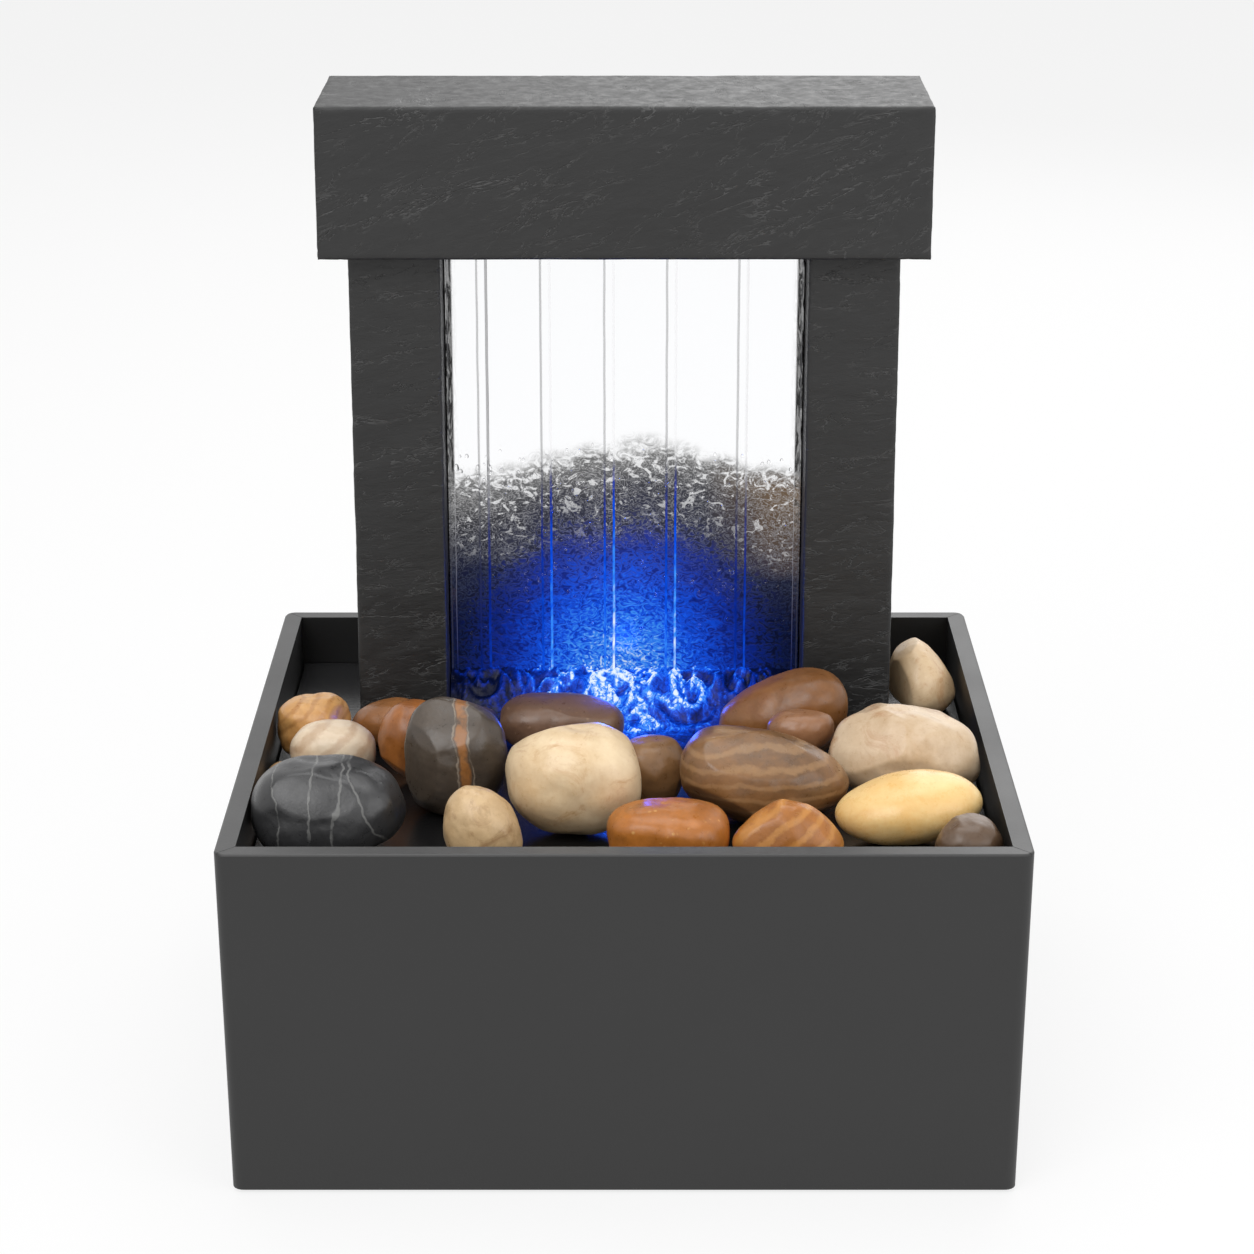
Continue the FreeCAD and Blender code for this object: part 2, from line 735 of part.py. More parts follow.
def rotor():
    """The fixed shaft in its two rubber bushes, and the magnet and impeller that spin on it."""
    front, rear = "plate_front + volute_plate - bush_length", "pump_front + rotor_bore_depth"
    bushes = []
    for start in (front, rear):
        bushes.append(cut(pump_rod(start, "bush_radius", "bush_length"),
                          [pump_rod(start, "rotor_shaft_radius", "bush_length")]))
    finished(group(bushes, "shaft_bushes"), "shaft_bushes")
    shaft = pump_rod(front, "rotor_shaft_radius", f"{rear} + bush_length - ({front})")
    finished(shaft, "rotor_shaft")

    bore = "rotor_shaft_radius + running_clearance"
    magnet_start = "pump_front + rotor_end_gap"
    magnet = cut(pump_rod(magnet_start, "magnet_radius", "magnet_length"),
                 [pump_rod(magnet_start, bore, "magnet_length")], "rotor_magnet")
    finished(magnet, "rotor_magnet")

    disc_start = "pump_front - rotor_end_gap - impeller_disc"
    parts = [
        pump_rod(disc_start, "impeller_radius", "impeller_disc"),
        pump_rod(f"{disc_start} - blade_height", "impeller_hub", "blade_height"),
        pump_rod(disc_start, "impeller_hub", f"{magnet_start} - ({disc_start})"),
    ]
    blade_count = 6
    for i in range(blade_count):
        parts.append(blade(disc_start, 360 * i / blade_count))
    length = f"{magnet_start} - ({disc_start}) + blade_height"
    impeller = cut(join(parts), [pump_rod(f"{disc_start} - blade_height", bore, length)], "impeller")
    finished(impeller, "impeller")


def blade(disc_start, angle):
    """One straight blade on the impeller's disc, turned about the pump's axis."""
    box = doc.addObject("Part::Box", "Blade")
    bind(box, "Length", "impeller_radius - blade_setback")
    bind(box, "Width", "blade_height")
    bind(box, "Height", "blade_thickness")
    box.Placement.Rotation = FreeCAD.Rotation(V(0, 1, 0), angle)
    place(box, PUMP_X, f"{disc_start} - blade_height", "pump_axis")
    return box


def intake():
    """The pull-off front cover with its strainer slots, and the sponge behind it."""
    half = "pump_width / 2"
    outside = block((f"{PUMP_X} - {half}", f"{PUMP_X} + {half}"),
                    ("intake_front", "pump_front - slip_fit"),
                    ("pump_bottom", "pump_bottom + pump_height"))
    inside = block((f"{PUMP_X} - {half} + intake_wall", f"{PUMP_X} + {half} - intake_wall"),
                   ("intake_front + intake_wall", "pump_front - slip_fit"),
                   ("pump_bottom + intake_wall", "pump_bottom + pump_height - intake_wall"))
    throat_half = "(outlet_radius + intake_throat_gap)"
    throat = block((f"{PUMP_X} - {throat_half}", f"{PUMP_X} + {throat_half}"),
                   (f"tower_setback - {throat_half}", "pump_front - slip_fit"),
                   ("pump_bottom + pump_height - intake_wall", "pump_bottom + pump_height"))
    tools = [inside, throat, rod("y", (PUMP_X, "intake_front", "pump_axis"),
                                 "dial_stem + running_clearance", "intake_wall")]
    slots_a_side = 3
    for row in (-1, 1):
        for i in range(-slots_a_side, slots_a_side + 1):
            across = f"{PUMP_X} + {i} * intake_slot * 2"
            middle = f"pump_axis + {row} * (dial_radius + intake_slot_gap + intake_slot_height / 2)"
            tools.append(block((f"{across} - intake_slot / 2", f"{across} + intake_slot / 2"),
                               ("intake_front", "intake_front + intake_wall"),
                               (f"{middle} - intake_slot_height / 2", f"{middle} + intake_slot_height / 2")))
    finished(cut(outside, tools, "intake_cover"), "intake_cover")

    margin = "(intake_wall + sponge_gap)"
    sponge = block((f"{PUMP_X} - {half} + {margin}", f"{PUMP_X} + {half} - {margin}"),
                   ("plate_front - sponge_thickness", "plate_front"),
                   (f"pump_bottom + {margin}", f"pump_bottom + pump_height - {margin}"))
    finished(sponge, "filter_sponge")


def flow_dial():
    """A slotted knob on the intake cover, held by its stem and a collar behind the wall."""
    disc = rod("y", (PUMP_X, "intake_front - dial_thickness", "pump_axis"),
               "dial_radius", "dial_thickness - slip_fit")
    stem = rod("y", (PUMP_X, "intake_front - slip_fit", "pump_axis"),
               "dial_stem", "intake_wall + slip_fit * 2")
    collar = rod("y", (PUMP_X, "intake_front + intake_wall + slip_fit", "pump_axis"),
                 "dial_stem + dial_collar", "dial_collar_thickness")
    grip_half = "(dial_radius - dial_grip_setback)"
    grip = block((f"{PUMP_X} - dial_grip_width / 2", f"{PUMP_X} + dial_grip_width / 2"),
                 ("intake_front - dial_thickness - dial_grip_height", "intake_front - dial_thickness"),
                 (f"pump_axis - {grip_half}", f"pump_axis + {grip_half}"))
    finished(join([disc, stem, collar, grip], "flow_dial"), "flow_dial")


def outlet_adapter():
    """The nozzle that plugs into the pump's outlet; the riser is pushed over it down to its collar."""
    centre = (PUMP_X, "tower_setback")
    spout = rod("z", centre + ("outlet_foot",), "outlet_radius", "outlet_top - outlet_foot")
    taper = rod("z", centre + ("tube_foot",), "tube_bore", "outlet_top - tube_foot")
    collar = rod("z", centre + ("tube_foot - outlet_flange",), "tube_radius", "outlet_flange")
    bore = rod("z", centre + ("outlet_foot",), "outlet_bore", "outlet_top - outlet_foot")
    finished(cut(join([spout, taper, collar]), [bore], "outlet_adapter"), "outlet_adapter")


def suction_cups():
    cups = []
    for i in (-1, 1):
        for y in ("pump_front + cup_radius", "pump_rear - cup_radius"):
            x = f"{PUMP_X} + {i} * (pump_width / 2 - cup_radius)"
            skirt = cone((x, y, "floor_top"), "cup_radius", "cup_radius / 2", "cup_skirt")
            stem = rod("z", (x, y, "floor_top + cup_skirt"), "cup_radius / 2", "cup_height - cup_skirt")
            cups.append(join([skirt, stem]))
    finished(group(cups, "suction_cups"), "suction_cups")


# ---- light under the water ----

def led_screw_places():
    """Three screws on the light's flange, evenly round its centre."""
    places = []
    for angle in (30, 150, 270):
        across, back = math.cos(math.radians(angle)), math.sin(math.radians(angle))
        circle = "(led_ear_radius + led_flange) / 2"
        places.append((f"{across:.5f} * {circle}", f"led_setback + {back:.5f} * {circle}"))
    return places


def light():
    """A sealed puck under the deck whose window fills the hole in front of the panel."""
    centre = ("0", "led_setback")
    cup = join([
        rod("z", centre + ("led_cup_bottom",), "led_cup_radius + led_cup_wall", "led_cup_depth"),
        rod("z", centre + ("cup_rim - led_cup_wall",), "led_ear_radius", "led_cup_wall"),
    ])
    tools = [rod("z", centre + ("led_cup_bottom + led_cup_wall",), "led_cup_radius", "led_cup_depth")]
    for x, y in led_screw_places():
        tools.append(rod("z", (x, y, "cup_rim - led_cup_wall"), "screw_radius + slip_fit", "led_cup_wall"))
    tools.append(rod("y", ("led_lead_x", "led_setback", "led_lead_z"), "lead_radius", "led_ear_radius"))
    finished(cut(cup, tools, "led_housing"), "led_housing")

    flange = rod("z", centre + ("lens_bottom",), "led_flange", "led_lens_thickness")
    window = rod("z", centre + ("lens_bottom",), "led_window", "deck_top - lens_bottom")
    finished(join([flange, window], "led_lens"), "led_lens")

    ring = rod("z", centre + ("lens_top",), "led_flange", "led_seal")
    hole = rod("z", centre + ("lens_top",), "led_window", "led_seal")
    finished(cut(ring, [hole], "led_gasket"), "led_gasket")

    finished(rod("z", centre + ("board_bottom",), "led_cup_radius - slip_fit", "led_board_thickness"),
             "led_board")
    spacer_height = "lens_bottom - board_top"
    spacer = rod("z", centre + ("board_top",), "led_cup_radius - slip_fit", spacer_height)
    spacer_hole = rod("z", centre + ("board_top",), "led_window - led_spacer_step", spacer_height)
    finished(cut(spacer, [spacer_hole], "led_spacer"), "led_spacer")
    chips = []
    chip_count = 6
    for i in range(chip_count):
        angle = 2 * math.pi * i / chip_count
        x = f"{math.cos(angle):.5f} * led_chip_circle"
        y = f"led_setback + {math.sin(angle):.5f} * led_chip_circle"
        chips.append(block((f"{x} - led_chip / 2", f"{x} + led_chip / 2"),
                           (f"{y} - led_chip / 2", f"{y} + led_chip / 2"),
                           ("board_top", "board_top + led_chip_height")))
    finished(group(chips, "led_chips"), "led_chips")
    screws = [screw(x, y, "cup_rim - led_cup_wall", True) for x, y in led_screw_places()]
    finished(group(screws, "led_screws"), "led_screws")


# ---- cable gland and leads ----

def gland():
    """A lipped rubber ring in the basin's rear wall. The supply cord would pass through it."""
    middle = ("gland_place", "gland_height")

    def along(start, radius, length):
        return rod("y", (middle[0], start, middle[1]), radius, length)

    inside, outside = "rear_wall_inside", "rear_wall_outside"
    lip_start = f"{inside} - slip_fit - gland_lip"
    neck = along(f"{inside} - slip_fit", "gland_radius - running_clearance",
                 f"{outside} - {inside} + slip_fit")
    inner_lip = along(lip_start, "gland_radius + gland_lip_proud", "gland_lip")
    hole = along(lip_start, "gland_bore", f"{outside} - ({lip_start})")
    finished(cut(join([neck, inner_lip]), [hole], "cable_gland"), "cable_gland")
    splice = along("splice_front", "splice_radius", "splice_length")
    finished(splice, "lead_splice")


def rounded_path(points):
    """Straight runs joined by tangent arcs, each as large as its two runs allow."""
    arc_share = 0.45
    edges = []
    start = points[0]
    for before, corner, after in zip(points, points[1:], points[2:]):
        back, ahead = (before - corner), (after - corner)
        trim = arc_share * min(back.Length, ahead.Length)
        turn = math.pi - back.getAngle(ahead)
        radius = trim / math.tan(turn / 2)
        enter = corner + back.normalize() * trim
        leave = corner + ahead.normalize() * trim
        inward = (back + ahead).normalize()
        middle = corner + inward * (math.hypot(radius, trim) - radius)
        edges.append(Part.LineSegment(start, enter).toShape())
        edges.append(Part.Arc(enter, middle, leave).toShape())
        print(f"arc radius {radius:.1f}")
        start = leave
    edges.append(Part.LineSegment(start, points[-1]).toShape())
    return Part.Wire(edges)


def lead(label, points):
    """An insulated lead: a round section swept along its rounded path."""
    path = rounded_path(points)
    radius = size("lead_radius")
    section = Part.Wire(Part.Circle(points[0], points[1] - points[0], radius).toShape())
    shape = path.makePipeShell([section], True, False)
    expected = math.pi * radius ** 2 * path.Length
    if abs(shape.Volume / expected - 1) > 0.01:
        raise RuntimeError(label + " has the wrong volume")
    tube = doc.addObject("Part::Feature", label)
    tube.Shape = shape
    finished(tube, label)


def leads():
    """The pump's and the light's leads, up through the deck into the splice behind the tower."""
    splice_x, splice_z = size("gland_place"), size("gland_height")
    deck_bottom = size("deck_bottom")
    rise_y = size("lead_hole_centre")
    half_gap = size("lead_radius") + size("lead_gap") / 2
    end_y = size("splice_front")
    low = deck_bottom - size("lead_drop")

    pump_x = size("hollow_centre") - size("pump_width") / 4
    pump_y = size("pump_rear") - size("pump_length") / 4
    pump_top = size("pump_bottom") + size("pump_height")
    x = splice_x + half_gap
    lead("pump_lead", [
        V(pump_x, pump_y, pump_top),
        V(pump_x, pump_y, pump_top + size("lead_slack")),
        V(x, rise_y, low),
        V(x, rise_y, splice_z),
        V(x, end_y, splice_z),
    ])
    x = splice_x - half_gap
    led_x, led_z = size("led_lead_x"), size("led_lead_z")
    start_y = size("led_setback") + size("led_cup_radius")
    lead("led_lead", [
        V(led_x, start_y, led_z),
        V(led_x, rise_y - size("lead_sweep"), led_z),
        V(x, rise_y, low + size("lead_step")),
        V(x, rise_y, splice_z),
        V(x, end_y, splice_z),
    ])


# ---- pebbles ----

class Pebble:
    """An ellipsoid of stone: half its length, breadth and thickness, its turn on the deck and its tilt."""

    def __init__(self, label, length, breadth, thickness, turn, tilt):
        self.label = label
        self.radii = (length / 2, breadth / 2, thickness / 2)
        spin = FreeCAD.Rotation(V(0, 0, 1), turn)
        lean = FreeCAD.Rotation(V(0, 1, 0), tilt)
        self.rotation = spin.multiply(lean)
        self.x = self.y = self.z = 0.0
        axes = [self.rotation.multVec(V(*unit)) for unit in ((1, 0, 0), (0, 1, 0), (0, 0, 1))]
        self.form = [
            [sum(a[i] * a[j] / r ** 2 for a, r in zip(axes, self.radii)) for j in range(3)]
            for i in range(3)
        ]
        self.reach = [
            math.sqrt(sum((a[i] * r) ** 2 for a, r in zip(axes, self.radii))) for i in range(3)
        ]

    def heights(self, dx, dy):
        """The surface's lowest and highest points over a place near the centre, or None beside it."""
        m = self.form
        middle = m[0][2] * dx + m[1][2] * dy
        rest = m[0][0] * dx * dx + 2 * m[0][1] * dx * dy + m[1][1] * dy * dy - 1
        inside = middle * middle - m[2][2] * rest
        if inside < 0:
            return None
        root = math.sqrt(inside)
        return (-middle - root) / m[2][2], (-middle + root) / m[2][2]

    def drop(self, others, ground, gap):
        """Lowers the pebble until it rests, a small gap above the deck and above every other pebble."""
        self.z = ground + gap + self.reach[2]
        steps = 36
        for i in range(-steps, steps + 1):
            for j in range(-steps, steps + 1):
                dx, dy = self.reach[0] * i / steps, self.reach[1] * j / steps
                own = self.heights(dx, dy)
                if own is None:
                    continue
                for other in others:
                    under = other.heights(self.x + dx - other.x, self.y + dy - other.y)
                    if under is not None:
                        self.z = max(self.z, other.z + under[1] + gap - own[0])


# Each pebble's name; its place across the tray from wall to wall, -1 to 1, and back from the front
# wall to the tower, 0 to 1; its length, breadth and thickness; its turn and its tilt in degrees.
PEBBLES = [
    ("charcoal", -1.0, 0.19, 39, 28, 24, 0, 0),
    ("small_tan", -1.0, 0.62, 10, 10, 9, 0, 0),
    ("orange_rear", -1.0, 0.94, 20, 19, 17, 0, 0),
    ("brown_left", -0.77, 0.99, 19, 16, 14, 0, 0),
    ("orange_brown", -0.66, 0.72, 20, 18, 23, 0, 0),
    ("banded", -0.54, 0.49, 27, 20, 31, 0, 0),
    ("tan_triangle", -0.42, 0.15, 20, 18, 20, 0, 0),
    ("mauve_flat", -0.22, 0.98, 34, 20, 16, 0, 0),
    ("small_mauve", -0.46, 1.0, 12, 10, 10, 0, 0),
    ("cream_round", -0.17, 0.34, 35, 28, 29, 0, 0),
    ("tan_round", 0.08, 0.57, 19, 18, 18, 0, 0),
    ("speckled", 0.14, 0.12, 31, 22, 16, 0, 0),
    ("brown_large", 0.50, 0.42, 44, 28, 25, 0, 0),
    ("brown_rear", 0.56, 0.93, 36, 22, 24, 0, -18),
    ("pyramid", 0.51, 0.11, 28, 18, 18, 0, 0),
    ("mottled", 0.99, 0.64, 40, 26, 25, 0, 0),
    ("dark_brown", 1.0, 0.07, 17, 17, 15, 0, 0),
    ("pale_yellow", 0.96, 0.27, 38, 24, 18, 4, -7),
    ("pink_small", 0.55, 0.72, 18, 12, 11, 0, 0),
    ("cream_veined", -0.94, 0.75, 23, 17, 16, 0, 0),
]
# The pebble beside the tower is set back from its middle; the pool's pebble lies at the panel's foot.
REAR_PEBBLE = ("cream_rear", 5, 19, 26, 20)
POOL_PEBBLE = ("submerged", 0.19, 14, 10, 6)


def pebble_sizes():
    """Adds every pebble's three sizes to the sheet."""
    first = len(DIMENSIONS) + len(DERIVED) + 4
    rows = [(name, shape) for name, _, _, *shape in PEBBLES]
    rows += [(REAR_PEBBLE[0], REAR_PEBBLE[2:]), (POOL_PEBBLE[0], POOL_PEBBLE[2:])]
    cell = first
    for name, shape in rows:
        for key, number in zip(("length", "breadth", "thickness"), shape):
            sheet.set(f"A{cell}", f"{name}_{key}")
            sheet.set(f"B{cell}", str(number))
            sheet.setAlias(f"B{cell}", f"{name}_{key}")
            cell += 1
    doc.recompute()


def pebbles():
    """Lays the pebbles one after another, each resting on the deck or on those laid before it."""
    ground, gap = size("deck_top"), size("pebble_gap")
    half_width = size("tray_half_width")
    front_y, back_y = -size("tray_half_depth"), size("pillar_front")
    laid = []
    for label, across, back, *shape in PEBBLES:
        pebble = Pebble(label, *shape)
        pebble.x = across * (half_width - pebble.reach[0] - gap)
        low, high = front_y + pebble.reach[1] + gap, back_y - pebble.reach[1] - gap
        pebble.y = low + back * (high - low)
        laid.append(pebble)

    label, behind, *shape = REAR_PEBBLE
    beside = Pebble(label, *shape, 0, 0)
    beside.x = (size("pillar_outer") + half_width) / 2
    beside.y = size("tower_setback") + behind
    laid.append(beside)

    label, across, *shape = POOL_PEBBLE
    sunk = Pebble(label, *shape, 0, 0)
    sunk.x = across * half_width
    sunk.y = size("panel_front") - size("rib_height") - sunk.reach[1] - gap
    laid.append(sunk)

    for i, pebble in enumerate(laid):
        pebble.drop(laid[:i], ground, gap)
        stone = doc.addObject("Part::Ellipsoid", "pebble_" + pebble.label)
        for prop, key in (("Radius2", "length"), ("Radius3", "breadth"), ("Radius1", "thickness")):
            bind(stone, prop, f"{pebble.label}_{key} / 2")
        stone.Placement = FreeCAD.Placement(V(pebble.x, pebble.y, pebble.z), pebble.rotation)
        finished(stone, "pebble_" + pebble.label)


# ---- the whole fountain ----

def write_parts():
    """Checks every object and every piece, then writes one STEP file per piece."""
    doc.recompute()
    failed = [o.Label for o in doc.Objects if "Invalid" in o.State or "Error" in o.State]
    for label, piece in nodes.items():
        if piece.Shape.isNull() or not piece.Shape.isValid() or not piece.Shape.Solids:
            failed.append(label)
    if failed:
        raise RuntimeError("these failed: " + ", ".join(failed))
    os.makedirs("parts", exist_ok=True)
    for label, piece in nodes.items():
        piece.Shape.exportStep(f"parts/{label}.step")


for build in (basin, feet, deck, panel, panel_seals, trough, trough_screws, tube_and_grommet,
              header, header_pads, pump_housing, volute_plate, rotor, intake, flow_dial,
              outlet_adapter, suction_cups, light, gland, leads, pebble_sizes, pebbles):
    build()
pillar("left_pillar", -1)
pillar("right_pillar", 1)
write_parts()
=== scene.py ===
import json
import math

import bmesh
import bpy
import numpy as np
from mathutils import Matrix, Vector, noise


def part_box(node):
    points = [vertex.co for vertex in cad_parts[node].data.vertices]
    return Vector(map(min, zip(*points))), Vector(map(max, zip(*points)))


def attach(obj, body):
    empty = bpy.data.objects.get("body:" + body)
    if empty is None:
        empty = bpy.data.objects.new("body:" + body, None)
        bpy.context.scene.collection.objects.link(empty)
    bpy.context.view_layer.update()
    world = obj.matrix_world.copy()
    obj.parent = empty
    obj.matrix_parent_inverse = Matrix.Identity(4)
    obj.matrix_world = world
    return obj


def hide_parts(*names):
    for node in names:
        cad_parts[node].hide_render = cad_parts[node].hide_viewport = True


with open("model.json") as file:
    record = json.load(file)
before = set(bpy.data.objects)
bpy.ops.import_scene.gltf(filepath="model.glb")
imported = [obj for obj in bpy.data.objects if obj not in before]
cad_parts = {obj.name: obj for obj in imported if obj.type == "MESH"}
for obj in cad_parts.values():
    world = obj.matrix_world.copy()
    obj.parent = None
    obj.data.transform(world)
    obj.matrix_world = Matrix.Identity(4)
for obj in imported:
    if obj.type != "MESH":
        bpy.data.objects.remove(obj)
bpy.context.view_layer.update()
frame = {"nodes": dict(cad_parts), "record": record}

# Everything is in metres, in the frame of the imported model. MM turns millimetres into metres.
MM = 0.001
NODES = frame["nodes"]
BODY_OF = {
    node: body
    for body, members in frame["record"]["behaviour"]["bodies"].items()
    for node in members
}
ROOT = BODY_OF["basin"]
# The tower stands on the deck, and its opening ends at the lintel.
DECK_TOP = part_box("left_pillar")[0].z
LINTEL_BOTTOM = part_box("header_cover")[0].z


# ---------------------------------------------------------------- materials

def add(tree, kind, inputs=None, **settings):
    """Adds a shader node. An input is given either a socket to link or a value."""
    node = tree.nodes.new("ShaderNode" + kind)
    for name, value in settings.items():
        setattr(node, name, value)
    for key, value in (inputs or {}).items():
        if isinstance(value, bpy.types.NodeSocket):
            tree.links.new(value, node.inputs[key])
        else:
            node.inputs[key].default_value = value
    return node


def material(name):
    """A new material with a Principled shader on its output."""
    made = bpy.data.materials.new(name)
    made.use_nodes = True
    tree = made.node_tree
    tree.nodes.clear()
    shader = add(tree, "BsdfPrincipled")
    add(tree, "OutputMaterial", {"Surface": shader.outputs["BSDF"]})
    return made, tree, shader


def rgb(red, green, blue):
    """A colour as sRGB from 0 to 255, turned into the linear colour that shaders take."""
    def linear(value):
        value /= 255
        return value / 12.92 if value <= 0.04045 else ((value + 0.055) / 1.055) ** 2.4
    return (linear(red), linear(green), linear(blue), 1)


def spot(tree, stretch=(1, 1, 1), turn=(0, 0, 0), shift=(0, 0, 0)):
    """Object coordinates, moved, turned and then stretched: a stretch of 3 makes marks 3 times as long."""
    where = add(tree, "TexCoord").outputs["Object"]
    inputs = {"Vector": where, "Location": shift, "Rotation": turn, "Scale": stretch}
    mapping = add(tree, "Mapping", inputs, vector_type="TEXTURE")
    return mapping.outputs["Vector"]


def parts_of(tree, vector):
    """The X, Y and Z of a vector."""
    return add(tree, "SeparateXYZ", {"Vector": vector}).outputs


def near(tree, value, middle, width, soft):
    """1 where a value lies within width of the middle, fading to 0 over the soft distance."""
    away = maths(tree, "ABSOLUTE", maths(tree, "SUBTRACT", value, middle))
    return scaled(tree, away, width + soft, width)


def scaled(tree, value, low, high):
    """Turns the range from low to high into 0 to 1, clamped."""
    node = add(tree, "MapRange", {0: value, 1: low, 2: high})
    return node.outputs[0]


def grain(tree, vector, scale, detail=4, roughness=0.55, distortion=0.0):
    """A noise value about 0.5. The scale is in waves per metre."""
    return add(tree, "TexNoise", {
        "Vector": vector, "Scale": scale, "Detail": detail,
        "Roughness": roughness, "Distortion": distortion}).outputs["Fac"]


def ramp(tree, value, stops):
    """A colour ramp. Each stop is a position and a colour or a grey."""
    node = add(tree, "ValToRGB", {"Fac": value})
    band = node.color_ramp
    while len(band.elements) < len(stops):
        band.elements.new(0.5)
    for element, (position, colour) in zip(band.elements, stops):
        element.position = position
        element.color = colour if isinstance(colour, tuple) else (colour, colour, colour, 1)
    return node.outputs["Color"]


def blend_colours(tree, factor, first, second, mode="MIX"):
    """The first colour where the factor is 0 and the second where it is 1."""
    node = add(tree, "Mix", data_type="RGBA", blend_type=mode)
    for key, value in ((0, factor), (6, first), (7, second)):
        if isinstance(value, bpy.types.NodeSocket):
            tree.links.new(value, node.inputs[key])
        else:
            node.inputs[key].default_value = value
    return node.outputs[2]


def maths(tree, operation, first, second=0.0, clamp=False):
    """The result of one sum on numbers."""
    return add(tree, "Math", {0: first, 1: second}, operation=operation, use_clamp=clamp).outputs[0]


def bump(tree, shader, height, distance):
    """Roughens the surface by a height texture. The distance is in metres."""
    node = add(tree, "Bump", {"Height": height, "Distance": distance})
    tree.links.new(node.outputs["Normal"], shader.inputs["Normal"])


def through(tree, cover, under, over):
    """Shows one shader where cover is 0 and another where it is 1."""
    mix = add(tree, "MixShader", {0: cover, 1: under, 2: over})
    out = next(node for node in tree.nodes if node.type == "OUTPUT_MATERIAL")
    tree.links.new(mix.outputs[0], out.inputs["Surface"])


def moulded(name, colour, roughness=0.45, mottle=0.15, texture=900, relief=0.02):
    """Moulded plastic or rubber: a fine grain, faint mottling and uneven gloss."""
    made, tree, shader = material(name)
    fine = grain(tree, spot(tree), texture, 3)
    broad = grain(tree, spot(tree), 35, 5, 0.6)
    dark = tuple(c * (1 - mottle) for c in colour[:3]) + (1,)
    pale = tuple(min(1, c * (1 + mottle)) for c in colour[:3]) + (1,)
    tree.links.new(blend_colours(tree, broad, dark, pale), shader.inputs["Base Color"])
    spread = 0.06
    gloss = add(tree, "Math", {0: fine, 1: spread * 2, 2: roughness - spread}, operation="MULTIPLY_ADD")
    tree.links.new(gloss.outputs[0], shader.inputs["Roughness"])
    bump(tree, shader, fine, relief * MM)
    return made


def clear(name, ior=1.49, roughness=0.0):
    """A clear material such as acrylic, vinyl or water, with a trace of haze."""
    made, tree, shader = material(name)
    shader.inputs["Base Color"].default_value = (1, 1, 1, 1)
    shader.inputs["IOR"].default_value = ior
    shader.inputs["Transmission Weight"].default_value = 1.0
    haze = grain(tree, spot(tree), 60, 4)
    gloss = add(tree, "Math", {0: haze, 1: 0.02, 2: roughness}, operation="MULTIPLY_ADD")
    tree.links.new(gloss.outputs[0], shader.inputs["Roughness"])
    return made


def slate(name, tilt):
    """Slate-textured resin: short fine cracks that catch the light on a near-black ground."""
    made, tree, shader = material(name)
    flow = spot(tree, stretch=(3.2, 3.2, 1), turn=(0, -tilt, 0))
    fine = grain(tree, flow, 800, 6, 0.65, 0.3)
    broad = grain(tree, flow, 90, 5, 0.6)
    height = maths(tree, "ADD", maths(tree, "MULTIPLY", fine, 0.3), broad)
    line = None
    for stretch, scale, width, turn in ((4.5, 190, 0.016, tilt), (3.0, 330, 0.020, tilt * 2.2)):
        along = spot(tree, stretch=(stretch, stretch, 1), turn=(0, -turn, 0), shift=(0.3 * scale, 0, 0))
        wander = grain(tree, along, scale, 5, 0.6, 0.5)
        ridge = maths(tree, "ABSOLUTE", maths(tree, "SUBTRACT", wander, 0.5))
        thread = scaled(tree, ridge, width, 0.0)
        patch = scaled(tree, grain(tree, along, scale * 0.7, 2), 0.5, 0.66)
        thread = maths(tree, "MULTIPLY", thread, patch)
        line = thread if line is None else maths(tree, "MAXIMUM", line, thread)
    ground = blend_colours(tree, broad, rgb(22, 22, 22), rgb(31, 31, 31))
    tree.links.new(
        blend_colours(tree, line, ground, rgb(70, 70, 70)), shader.inputs["Base Color"])
    tree.links.new(ramp(tree, fine, [(0.3, 0.42), (0.7, 0.62)]), shader.inputs["Roughness"])
    bump(tree, shader, maths(tree, "SUBTRACT", height, maths(tree, "MULTIPLY", line, 0.5)), 0.3 * MM)
    return made


